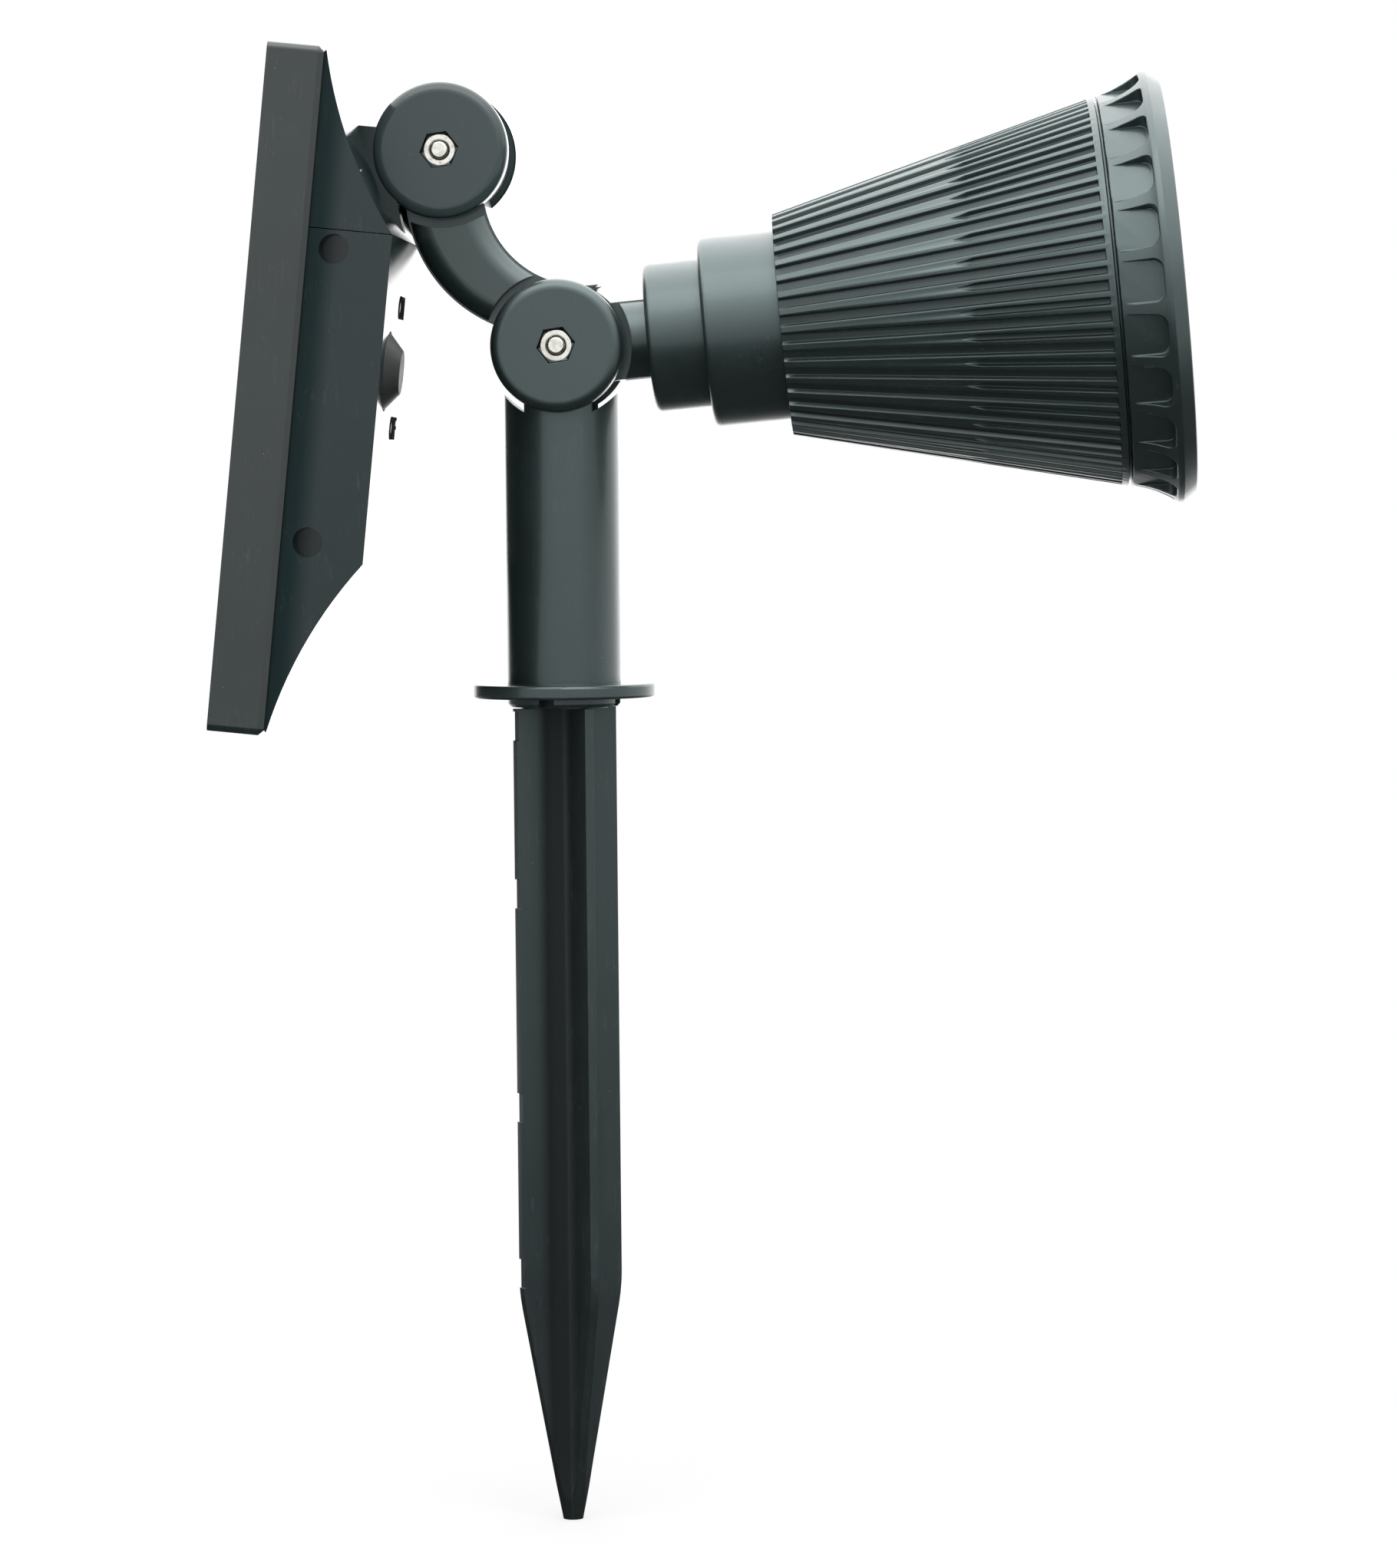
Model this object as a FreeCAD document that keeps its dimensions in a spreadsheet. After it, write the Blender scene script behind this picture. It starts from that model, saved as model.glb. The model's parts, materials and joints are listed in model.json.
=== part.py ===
"""Solar spotlight on a ground stake: lamp head and solar panel on two bolted knuckles.

Row frame: origin on the column axis at the underside of the ground flange, +Z up the column,
+X towards the lamp head, +Y along the knuckle bolts towards the bolt heads. Millimetres.

Local frames: the arm, the head and the panel are each drawn square in a frame of their own and
then placed. The arm's frame sits on the lower bolt with +Z towards the upper bolt. The head's sits
on the lower bolt with +X along the lamp axis. The panel's sits on the upper bolt with +X out of
the panel's back and +Z up the panel.
"""
import FreeCAD, Part
import math
import os
import re

import Sketcher

SIZES = (
    # column and ground stake
    ("tube_diameter", 25.0, "outside of the column tube"),
    ("tube_bore", 19.6, "socket bore of the column tube"),
    ("socket_cap", 3.0, "least plastic between the socket bore and the saddle"),
    ("flange_diameter", 40.0, "ground flange"),
    ("flange_thickness", 3.0, "ground flange"),
    ("flange_round", 0.6, "rounding of the flange rim"),
    ("collar_drop", 2.0, "slotted socket collar under the flange"),
    ("collar_chamfer", 0.7, "lead-in round the collar"),
    ("collar_slots", 4, "slots in the collar"),
    ("collar_slot_width", 3.5, "slot in the collar"),
    ("stake_length", 183.3, "flange underside to the tip"),
    ("stake_shoulder", 132.0, "flange underside to where the wings start to taper"),
    ("stake_radius", 12.25, "wing tips from the stake axis"),
    ("stake_tip_radius", 2.2, "blunt tip"),
    ("stake_turn", 30.0, "degrees that the wings stand turned about the column axis"),
    ("wing_thickness", 2.0, "stake wing"),
    ("wing_root", 4.0, "rounding between two wings"),
    ("shoulder_radius", 40.0, "rounding where the taper starts"),
    ("plug_length", 18.0, "stake plug above the flange underside"),
    ("plug_chamfer", 1.0, "lead-in of the stake plug"),
    ("notch_depth", 0.5, "shallow notches along one wing edge"),
    ("notch_height", 6.4, "shallow notches along one wing edge"),
    ("notch_first", 2.9, "flange underside to the first notch"),
    ("notch_second", 40.0, "flange underside to the second notch"),
    ("notch_third", 87.4, "flange underside to the third notch"),
    ("notch_fourth", 124.3, "flange underside to the fourth notch"),
    # knuckles
    ("low_pivot_height", 77.2, "lower bolt above the flange underside"),
    ("pivot_span", 49.5, "lower bolt to upper bolt"),
    ("arm_lean", 30.3, "degrees that the arm leans back from upright"),
    ("head_rise", 5.1, "degrees that the lamp axis points up"),
    ("panel_lean", 5.89, "degrees that the panel leans from upright"),
    ("knuckle_half_width", 16.0, "outer knuckle face from the middle plane"),
    ("ear_thickness", 6.0, "outer knuckle ear"),
    ("low_disc_radius", 14.5, "lower outer ears"),
    ("high_disc_radius", 14.8, "upper outer ears"),
    ("disc_round", 2.3, "rounding of the outer ear rims"),
    ("tongue_radius", 13.4, "round ends of the inner knuckle leaves"),
    ("low_saddle_radius", 16.2, "hollow ends that face the lower knuckle"),
    ("high_saddle_radius", 16.8, "hollow end that faces the upper knuckle"),
    ("play", 0.3, "gap between pieces that move past each other"),
    ("overshoot", 1.0, "how far a cut starts or ends outside the piece it cuts"),
    ("head_leaf", 6.2, "thickness of the head's knuckle leaf"),
    ("arm_half_width", 12.5, "arm side face from the middle plane"),
    ("arm_edge_round", 4.8, "rounding along the arm"),
    ("arm_outer_radius", 31.5, "outer bend of the arm"),
    ("arm_outer_across", 15.7, "centre of the outer bend"),
    ("arm_outer_up", 29.9, "centre of the outer bend"),
    ("arm_inner_radius", 21.7, "inner bend of the arm"),
    ("arm_inner_across", 22.5, "centre of the inner bend"),
    ("arm_inner_up", 27.2, "centre of the inner bend"),
    ("arm_low_end", 7.0, "height where the arm outline stops inside the lower knuckle"),
    ("arm_high_end", 6.0, "distance below the upper bolt where the arm outline stops"),
    ("arm_wall", 4.6, "plastic round the hollow inside the arm"),
    ("arm_hollow_depth", 6.0, "hollow in each arm half"),
    ("peg_radius", 1.2, "locating pegs between the arm halves"),
    ("peg_length", 2.5, "locating pegs between the arm halves"),
    # bolts and nuts
    ("bolt_radius", 2.0, "knuckle bolt"),
    ("pin_clearance", 0.08, "radial gap round a bolt or plug that turns in its bore"),
    ("thread_clearance", 0.05, "radial gap of a bolt in its nut"),
    ("hex_flats", 7.0, "across flats of the nuts and bolt heads"),
    ("hex_corner_trim", 0.07, "turned face of a nut or head, inside its flats"),
    ("hex_clearance", 0.22, "gap round a nut or head in its pocket, on each side"),
    ("nut_thickness", 3.2, "knuckle nut"),
    ("bolt_head_thickness", 2.8, "knuckle bolt head"),
    ("hex_pocket_depth", 4.2, "nut and head pockets in the outer ears"),
    ("bolt_stand", 0.9, "bolt end past its nut"),
    ("bolt_tip_chamfer", 0.4, "end of the bolt"),
    ("low_hex_turn", 8.5, "degrees that the lower hex stands turned"),
    ("high_hex_turn", 13.6, "degrees that the upper hex stands turned"),
    # lamp head, measured along its axis from the lower bolt
    ("neck_radius", 8.8, "neck behind the head"),
    ("neck_web_inset", 0.3, "flat web in the neck, below its round surface"),
    ("neck_end", 19.8, "neck to first step"),
    ("step_radius", 16.25, "first step"),
    ("step_end", 32.3, "first step to second step"),
    ("cup_radius", 20.75, "second step"),
    ("cup_end", 49.3, "second step to ribbed shell"),
    ("step_round", 1.5, "rounding of both steps"),
    ("cup_hollow_radius", 13.0, "hollow in the steps"),
    ("cup_floor", 4.0, "plastic behind the hollow"),
    ("spigot_radius", 15.8, "spigot that enters the ribbed shell"),
    ("spigot_length", 4.5, "spigot that enters the ribbed shell"),
    ("shell_small_radius", 24.3, "ribbed shell at its small end"),
    ("shell_large_radius", 42.65, "ribbed shell at its large end"),
    ("shell_end", 121.4, "large end of the ribbed shell"),
    ("shell_wall", 3.0, "ribbed shell"),
    ("shell_floor", 3.0, "end wall of the ribbed shell"),
    ("fit_gap", 0.15, "gap of a fixed piece in its seat"),
    ("rib_count", 40, "long grooves round the shell, with a short one between each two"),
    ("long_groove_width", 2.45, "long groove at the surface"),
    ("long_groove_floor", 1.6, "long groove at its floor"),
    ("short_groove_width", 1.6, "short groove at the surface"),
    ("short_groove_floor", 0.9, "short groove at its floor"),
    ("rib_groove_depth", 0.8, "both kinds of groove"),
    ("rib_band", 1.5, "plain band in front of the grooves"),
    ("short_groove_start", 92.0, "where the short grooves reach full depth"),
    ("short_groove_runout", 4.5, "tapered start of a short groove"),
    ("runout_reach", 1.3, "length of the tapered cut, in lengths of the tapered start"),
    ("bezel_seat_depth", 6.0, "recess in the shell for the bezel spigot"),
    ("bezel_spigot_radius", 39.2, "bezel spigot"),
    ("bezel_spigot_wall", 1.6, "bezel spigot"),
    ("seam_width", 0.8, "shadow groove behind the bezel"),
    ("seam_depth", 1.1, "shadow groove behind the bezel"),
    ("bezel_flare_end", 132.0, "where the flare meets the lip"),
    ("bezel_flare_radius", 26.0, "hollow curve of the flare"),
    ("bezel_radius", 47.35, "lip of the bezel"),
    ("bezel_front", 136.0, "front face of the bezel"),
    ("bezel_chamfer_length", 3.0, "chamfer of the lip, along the axis"),
    ("bezel_chamfer_rise", 2.0, "chamfer of the lip, across the axis"),
    ("bezel_face_width", 3.4, "flat front face of the lip"),
    ("thumb_count", 24, "thumb pockets round the bezel"),
    ("thumb_width", 8.8, "thumb pocket"),
    ("thumb_start", 123.4, "rear end of the thumb pockets"),
    ("thumb_end", 131.5, "deep end of the thumb pockets"),
    ("thumb_corner", 1.6, "rounded corners at the deep end"),
    ("window_radius", 35.5, "clear opening of the bezel"),
    ("window_lip", 2.0, "lip in front of the lens"),
    ("lens_front", 130.5, "front of the lens rim"),
    ("lens_thickness", 3.0, "lens rim"),
    ("lens_dome", 2.2, "how far the lens bulges through the opening"),
    ("gasket_thickness", 1.5, "lens gasket"),
    ("gasket_width", 3.6, "lens gasket"),
    ("tray_depth", 13.0, "reflector tray"),
    ("cup_mouth_radius", 9.0, "reflector cup at its mouth"),
    ("cup_throat_radius", 3.4, "reflector cup at the light"),
    ("cup_circle_radius", 21.5, "ring of reflector cups"),
    ("cup_count", 6, "reflector cups round the middle one"),
    ("board_radius", 34.0, "light board"),
    ("board_thickness", 1.6, "circuit boards"),
    ("light_size", 3.5, "light emitter"),
    ("light_height", 1.1, "light emitter"),
    # small screws
    ("screw_radius", 1.3, "shank of the small screws"),
    ("screw_head_radius", 2.5, "head of the small screws"),
    ("screw_head_height", 1.2, "head of the small screws"),
    ("screw_clearance", 0.15, "gap round a small screw"),
    ("shell_screw_circle", 18.4, "screws between the cup and the ribbed shell"),
    ("shell_screw_length", 10.0, "screws between the cup and the ribbed shell"),
    ("shell_screw_count", 3, "screws between the cup and the ribbed shell"),
    ("board_screw_circle", 31.0, "screws that hold the light board"),
    ("board_screw_length", 7.0, "screws that hold the light board"),
    # solar panel, measured down from its top edge and back from its front face
    ("panel_length", 146.1, "panel, top to bottom"),
    ("panel_width", 110.0, "panel, side to side"),
    ("frame_depth", 12.0, "panel frame"),
    ("panel_depth", 29.7, "front face to the flat back"),
    ("pivot_down", 17.4, "top edge to the upper bolt"),
    ("pivot_back", 34.3, "front face to the upper bolt"),
    ("frame_corner", 1.5, "rounded corners of the frame"),
    ("frame_bevel", 1.1, "bevel round the back of the frame"),
    ("frame_wall", 3.0, "side walls of the frame"),
    ("frame_border", 4.5, "rim round the solar sheet"),
    ("sheet_recess", 1.6, "recess for the solar sheet"),
    ("sheet_sunk", 0.1, "solar sheet below the rim"),
    ("sheet_gap", 0.3, "gap round the solar sheet"),
    ("frame_web", 2.4, "plate behind the solar sheet"),
    ("housing_inset", 2.5, "housing side set in from the frame side"),
    ("housing_edge", 0.8, "housing end set in from the frame end"),
    ("housing_wall", 2.5, "housing walls"),
    ("slope_length", 38.1, "sloped stretch at each end of the housing"),
    ("slope_radius", 95.7, "hollow curve of the slopes"),
    ("slope_step", 0.4, "outer end of a slope, behind the back of the frame"),
    ("hollow_start", 10.0, "frame end to the hollow inside the housing"),
    ("part_line", 0.2, "visible seam between bracket and battery housing"),
    ("web_top", 13.7, "top of the ear webs on the slope"),
    ("web_bottom", 36.0, "bottom of the ear webs on the slope"),
    ("web_shoulder", 29.0, "where the free edge of an ear web leaves the ear"),
    ("web_rise", 2.0, "free edge of an ear web above the slope, where it leaves the ear"),
    ("web_root", 1.5, "ear web set in from the ear's rim, where it starts inside the ear"),
    ("web_recess", 1.2, "ear web set in from the ear face"),
    ("dimple_radius", 3.2, "blind holes in the housing sides"),
    ("dimple_depth", 4.0, "blind holes in the housing sides"),
    ("dimple_wall", 2.0, "plastic round a blind hole"),
    ("dimple_top", 42.2, "upper blind hole, from the top edge"),
    ("dimple_bottom", 41.7, "lower blind hole, from the bottom edge"),
    ("dimple_back", 17.6, "blind holes, from the front face"),
    ("post_radius", 3.2, "screw posts in the housing"),
    ("post_inset", 7.8, "screw posts in from the side of the frame"),
    ("post_first", 28.0, "first pair of posts, from the top edge"),
    ("post_last", 18.1, "last pair of posts, from the bottom edge"),
    ("frame_screw_length", 12.0, "screws through the frame"),
    ("lead_hole_radius", 3.0, "hole for the lead of the solar sheet"),
    # switch, board and battery inside the battery housing
    ("button_share", 0.409, "place of the switch button, as a share of the flat back"),
    ("button_inset", 17.0, "switch button in from the side of the frame"),
    ("button_base_radius", 8.3, "switch button at the housing face"),
    ("button_tip_radius", 4.7, "flat tip of the switch button"),
    ("button_height", 3.1, "switch button above the housing face"),
    ("button_rim", 1.2, "rim that keeps the button in the housing"),
    ("button_rim_thickness", 1.2, "rim that keeps the button in the housing"),
    ("button_travel", 1.5, "press of the switch button"),
    ("switch_size", 12.0, "switch body"),
    ("switch_plunger_radius", 3.0, "switch plunger"),
    ("switch_plunger_height", 1.5, "switch plunger"),
    ("switch_height", 6.5, "switch body"),
    ("control_above", 17.2, "control board above the button's middle"),
    ("control_below", 10.0, "control board below the button's middle"),
    ("control_inset", 11.6, "control board in from the side of the frame"),
    ("control_inner", 4.0, "control board from the middle plane, inner edge"),
    ("board_post_radius", 2.5, "posts that carry the control board"),
    ("board_post_inset", 3.5, "posts from the board edge"),
    ("cell_radius", 9.2, "rechargeable cell"),
    ("cell_length", 65.0, "rechargeable cell"),
    ("cell_cap_radius", 3.0, "positive cap of the cell"),
    ("cell_cap_height", 1.0, "positive cap of the cell"),
    ("cell_share", 0.817, "place of the cell, as a share of the flat back"),
    ("cell_back", 17.6, "cell axis from the front face"),
    ("cradle_wall", 1.8, "cradle round the cell"),
    ("contact_gap", 2.4, "room for a contact at each end of the cell"),
    ("contact_reach", 5.5, "contact plate, half as wide as it is long"),
    ("contact_thickness", 0.5, "contact plates"),
)

DOC = FreeCAD.newDocument("spotlight")
SHEET = DOC.addObject("Spreadsheet::Sheet", "Sizes")
NAMES = {name for name, _, _ in SIZES}
SUB_PARTS = []


def fill_sheet():
    """Write every driving dimension into the sheet, with its name and what it is."""
    for row, (name, size, meaning) in enumerate(SIZES, start=1):
        SHEET.set("A%d" % row, name)
        SHEET.set("B%d" % row, str(size))
        SHEET.set("C%d" % row, meaning)
        SHEET.setAlias("B%d" % row, name)
    DOC.recompute()


def in_sheet(text):
    """Turn the sheet names in a formula into references to the sheet."""
    return re.sub(r"[a-z_]+", lambda word: "Sizes." * (word.group() in NAMES) + word.group(), str(text))


def value(text):
    """The number that a formula of sheet names comes to."""
    result = SHEET.evalExpression(in_sheet(text))
    return float(getattr(result, "Value", result))


def bind(item, prop, text):
    """Tie one property to a formula of sheet names."""
    item.setExpression(prop, in_sheet(text))


# ---------------------------------------------------------------- sketches

def new_body(label):
    """An empty body that becomes one sub-part."""
    body = DOC.addObject("PartDesign::Body", label)
    body.Label = label
    SUB_PARTS.append(body)
    return body


def origin_item(body, role):
    """A base plane or axis of a body."""
    return next(item for item in body.Origin.OriginFeatures if item.Role == role)


def flat_sketch(body, role):
    """A sketch on a base plane of its body."""
    sketch = body.newObject("Sketcher::SketchObject", body.Label + "_sketch")
    sketch.AttachmentSupport = [(origin_item(body, role), "")]
    sketch.MapMode = "FlatFace"
    return sketch


def new_sketch(body, role, lift="0", tilt=None, shift=None):
    """A sketch on a base plane, lifted along its normal, and tilted or shifted if asked.

    tilt is (axis, formula) in the plane's own directions, shift is (across, up).
    """
    sketch = flat_sketch(body, role)
    if tilt:
        turn = FreeCAD.Rotation(tilt[0], value(tilt[1]))
        sketch.AttachmentOffset = FreeCAD.Placement(FreeCAD.Vector(), turn)
        bind(sketch, "AttachmentOffset.Rotation.Angle", tilt[1])
    if shift:
        bind(sketch, "AttachmentOffset.Base.x", shift[0])
        bind(sketch, "AttachmentOffset.Base.y", shift[1])
    bind(sketch, "AttachmentOffset.Base.z", lift)
    return sketch


def pin_coordinate(sketch, kind, axis, geometry, end, text):
    """Hold one coordinate of a sketch point at a formula."""
    if text == "0":
        sketch.addConstraint(Sketcher.Constraint("PointOnObject", geometry, end, axis))
        return
    mark = sketch.addConstraint(Sketcher.Constraint(kind, -1, 1, geometry, end, value(text)))
    bind(sketch, "Constraints[%d]" % mark, text)


def pin_point(sketch, geometry, end, across, up):
    """Hold a sketch point at two formulas."""
    pin_coordinate(sketch, "DistanceX", -2, geometry, end, across)
    pin_coordinate(sketch, "DistanceY", -1, geometry, end, up)


def pin_radius(sketch, geometry, text):
    """Hold a circle's or arc's radius at a formula."""
    mark = sketch.addConstraint(Sketcher.Constraint("Radius", geometry, value(text)))
    bind(sketch, "Constraints[%d]" % mark, text)


def bent_side(start, finish, side, radius):
    """The short arc between two points, its centre to the left or right of the way it runs."""
    chord = finish - start
    across = FreeCAD.Vector(-chord.y, chord.x, 0).normalize()
    reach = math.sqrt(radius ** 2 - (chord.Length / 2) ** 2)
    sign = 1 if side == "left" else -1
    centre = (start + finish) * 0.5 + across * (reach * sign)
    first, last = (start, finish) if side == "left" else (finish, start)
    angles = [math.atan2(point.y - centre.y, point.x - centre.x) for point in (first, last)]
    return Part.ArcOfCircle(Part.Circle(centre, FreeCAD.Vector(0, 0, 1), radius), *angles)


def outline(sketch, corners):
    """A closed loop through corners (across, up) or (across, up, side, radius).

    The last form bends the side that starts at that corner into an arc.
    """
    points = [FreeCAD.Vector(value(corner[0]), value(corner[1]), 0) for corner in corners]
    ends = []
    for index, corner in enumerate(corners):
        start, finish = points[index], points[(index + 1) % len(points)]
        if len(corner) == 2:
            geometry = sketch.addGeometry(Part.LineSegment(start, finish))
            ends.append((geometry, 1, 2))
        else:
            side, radius = corner[2:]
            geometry = sketch.addGeometry(bent_side(start, finish, side, value(radius)))
            ends.append((geometry, 1, 2) if side == "left" else (geometry, 2, 1))
    for index, (geometry, _, finish) in enumerate(ends):
        following, start, _ = ends[(index + 1) % len(ends)]
        sketch.addConstraint(Sketcher.Constraint("Coincident", geometry, finish, following, start))
    for (geometry, start, _), corner in zip(ends, corners):
        pin_point(sketch, geometry, start, corner[0], corner[1])
        if len(corner) > 2:
            pin_radius(sketch, geometry, corner[3])


def rectangle(sketch, left, right, bottom, top):
    """A rectangle between four formulas."""
    outline(sketch, [(left, bottom), (right, bottom), (right, top), (left, top)])


def circle(sketch, across, up, radius):
    """A full circle."""
    centre = FreeCAD.Vector(value(across), value(up), 0)
    geometry = sketch.addGeometry(Part.Circle(centre, FreeCAD.Vector(0, 0, 1), value(radius)))
    pin_point(sketch, geometry, 3, across, up)
    pin_radius(sketch, geometry, radius)


def hexagon(sketch, flats, turn):
    """A hexagon about the sketch origin, its first corner turned up from across."""
    corners = []
    for index in range(6):
        angle = "(%s + %d)" % (turn, 60 * index)
        reach = "(%s) / 2 / cos(30)" % flats
        corners.append(("%s * cos%s" % (reach, angle), "%s * sin%s" % (reach, angle)))
    outline(sketch, corners)


# ---------------------------------------------------------------- features

def built(body, feature, grows):
    """Recompute a feature and stop if it adds or removes nothing."""
    before = 0.0 if feature.BaseFeature is None else feature.BaseFeature.Shape.Volume
    DOC.recompute()
    change = feature.Shape.Volume - before
    if feature.Shape.isNull() or change * (1 if grows else -1) < 1e-4:
        raise RuntimeError("%s in %s changes nothing" % (feature.Name, body.Label))
    return feature


def extruded(kind, grows, body, sketch, length, both=False, turned=False):
    """A pad or pocket of a sketch."""
    feature = body.newObject(kind, body.Label + "_" + kind.split("::")[1].lower())
    feature.Profile = sketch
    feature.SideType = "Symmetric" if both else "One side"
    feature.Reversed = turned
    bind(feature, "Length", length)
    return built(body, feature, grows)


def pad(body, sketch, length, both=False, turned=False):
    """Add a sketch's shape along its normal."""
    return extruded("PartDesign::Pad", True, body, sketch, length, both, turned)


def pocket(body, sketch, length, both=False, turned=False):
    """Remove a sketch's shape against its normal."""
    return extruded("PartDesign::Pocket", False, body, sketch, length, both, turned)


def revolved(kind, grows, body, sketch, axis):
    """A full turn of a sketch about one of its own axes."""
    feature = body.newObject(kind, body.Label + "_" + kind.split("::")[1].lower())
    feature.Profile = sketch
    feature.ReferenceAxis = (sketch, [axis])
    feature.Angle = 360
    return built(body, feature, grows)


def revolution(body, sketch, axis="H_Axis"):
    """Add a full turn of a sketch."""
    return revolved("PartDesign::Revolution", True, body, sketch, axis)


def groove(body, sketch, axis="H_Axis"):
    """Remove a full turn of a sketch."""
    return revolved("PartDesign::Groove", False, body, sketch, axis)


def around(body, features, role, count):
    """Repeat features evenly in a full turn about a base axis."""
    pattern = body.newObject("PartDesign::PolarPattern", body.Label + "_pattern")
    pattern.Originals = features
    pattern.Axis = (origin_item(body, role), [""])
    pattern.Angle = 360
    bind(pattern, "Occurrences", count)
    body.Tip = pattern
    DOC.recompute()
    return pattern


def edges_where(shape, test):
    """Names of the edges that pass a test."""
    return ["Edge%d" % (index + 1) for index, edge in enumerate(shape.Edges) if test(edge)]


def dressed(kind, body, prop, size, test):
    """A fillet or chamfer on the edges of the tip that pass a test."""
    base = body.Tip
    names = edges_where(base.Shape, test)
    if not names:
        raise RuntimeError("no edge to dress in " + body.Label)
    feature = body.newObject(kind, body.Label + "_" + kind.split("::")[1].lower())
    feature.Base = (base, names)
    bind(feature, prop, size)
    DOC.recompute()
    return feature


def fillet(body, radius, test):
    """Round the edges that pass a test."""
    return dressed("PartDesign::Fillet", body, "Radius", radius, test)


def chamfer(body, size, test):
    """Bevel the edges that pass a test."""
    return dressed("PartDesign::Chamfer", body, "Size", size, test)


def is_circle(edge, radius):
    """Whether an edge is round with a given radius."""
    return isinstance(edge.Curve, Part.Circle) and abs(edge.Curve.Radius - radius) < 1e-4


def near(first, second):
    """Whether two lengths agree."""
    return abs(first - second) < 1e-4


# ---------------------------------------------------------------- places

HIGH_PIVOT_ACROSS = "-pivot_span * sin(arm_lean)"
HIGH_PIVOT_UP = "low_pivot_height + pivot_span * cos(arm_lean)"
LEANING_BACK = FreeCAD.Vector(0, -1, 0)
LEANING_ON = FreeCAD.Vector(0, 1, 0)


def placed(body, across, up, axis, angle):
    """Put a body's frame on a knuckle bolt, turned about it."""
    body.Placement = FreeCAD.Placement(FreeCAD.Vector(), FreeCAD.Rotation(axis, value(angle)))
    bind(body, "Placement.Base.x", across)
    bind(body, "Placement.Base.z", up)
    bind(body, "Placement.Rotation.Angle", angle)


def in_arm_frame(body):
    """Put a body in the arm's frame."""
    placed(body, "0", "low_pivot_height", LEANING_BACK, "arm_lean")


def in_head_frame(body):
    """Put a body in the lamp head's frame."""
    placed(body, "0", "low_pivot_height", LEANING_BACK, "head_rise")


def in_panel_frame(body):
    """Put a body in the panel's frame."""
    placed(body, HIGH_PIVOT_ACROSS, HIGH_PIVOT_UP, LEANING_ON, "panel_lean")


EAR_INNER = "(knuckle_half_width - ear_thickness)"
LEAF_OUTER = "(knuckle_half_width - ear_thickness - play)"
BORE_RADIUS = "(bolt_radius + pin_clearance)"


def outer_ears(body, radius, up="0"):
    """A pair of round ears with rounded rims, one on each side of the middle plane."""
    for side, bend in (("", "left"), ("-", "right")):
        section = new_sketch(body, "XY_Plane", up)
        inner = side + EAR_INNER
        outer = side + "knuckle_half_width"
        rim = side + "(knuckle_half_width - disc_round)"
        outline(section, [
            ("0", inner), (radius, inner), (radius, rim, bend, "disc_round"),
            (radius + " - disc_round", outer), ("0", outer)])
        revolution(body, section, "V_Axis")


def cut_bolt_way(body, up, turn):
    """The bolt's bore through a pair of ears, with a nut pocket and a head pocket."""
    bore = new_sketch(body, "XZ_Plane", shift=("0", up))
    circle(bore, "0", "0", BORE_RADIUS)
    pocket(body, bore, "2 * knuckle_half_width", both=True)
    for lift, turned in (("knuckle_half_width", False), ("-knuckle_half_width", True)):
        seat = new_sketch(body, "XZ_Plane", lift, shift=("0", up))
        hexagon(seat, "hex_flats + 2 * hex_clearance", turn)
        pocket(body, seat, "hex_pocket_depth", turned=turned)


# ---------------------------------------------------------------- stake and column

def ground_stake():
    """Four-winged ground stake with the round plug that enters the column."""
    body = new_body("ground_stake")
    top = "(-collar_drop - play)"
    half = "wing_thickness / 2"
    over = "(stake_radius + overshoot)"
    wings = new_sketch(body, "XY_Plane", top)
    outline(wings, [
        (over, "-" + half), (over, half), (half, half),
        (half, over), ("-" + half, over), ("-" + half, half),
        ("-" + over, half), ("-" + over, "-" + half), ("-" + half, "-" + half),
        ("-" + half, "-" + over), (half, "-" + over), (half, "-" + half)])
    pad(body, wings, "stake_length - collar_drop - play", turned=True)
    root = value(half)
    fillet(body, "wing_root", lambda edge: all(
        near(abs(vertex.X), root) and near(abs(vertex.Y), root) for vertex in edge.Vertexes))
    taper = "atan((stake_radius - stake_tip_radius) / (stake_length - stake_shoulder))"
    easing = "(shoulder_radius * tan(%s / 2))" % taper
    easing_in = "(%s * sin(%s))" % (easing, taper)
    easing_down = "(%s * cos(%s))" % (easing, taper)
    outside = "(2 * stake_radius)"
    edge = new_sketch(body, "XZ_Plane")
    outline(edge, [
        ("stake_radius", "0"),
        ("stake_radius", "%s - stake_shoulder" % easing, "right", "shoulder_radius"),
        ("stake_radius - " + easing_in, "-stake_shoulder - " + easing_down),
        ("stake_tip_radius", "-stake_length"),
        ("stake_tip_radius", "-stake_length - overshoot"),
        (outside, "-stake_length - overshoot"),
        (outside, "0")])
    groove(body, edge, "V_Axis")
    notches = new_sketch(body, "XZ_Plane")
    for place in ("notch_first", "notch_second", "notch_third", "notch_fourth"):
        rectangle(notches, "-" + over, "notch_depth - stake_radius",
                  "-%s - notch_height" % place, "-" + place)
    pocket(body, notches, "2 * wing_thickness", both=True)
    plug = new_sketch(body, "XY_Plane", top)
    circle(plug, "0", "0", "tube_bore / 2 - pin_clearance")
    pad(body, plug, "plug_length + collar_drop + play")
    chamfer(body, "plug_chamfer", lambda rim: is_circle(rim, value("tube_bore / 2 - pin_clearance"))
            and near(rim.Curve.Center.z, value("plug_length")))
    body.Placement = FreeCAD.Placement(FreeCAD.Vector(), FreeCAD.Rotation(FreeCAD.Vector(0, 0, 1), 1))
    bind(body, "Placement.Rotation.Angle", "stake_turn")


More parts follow.
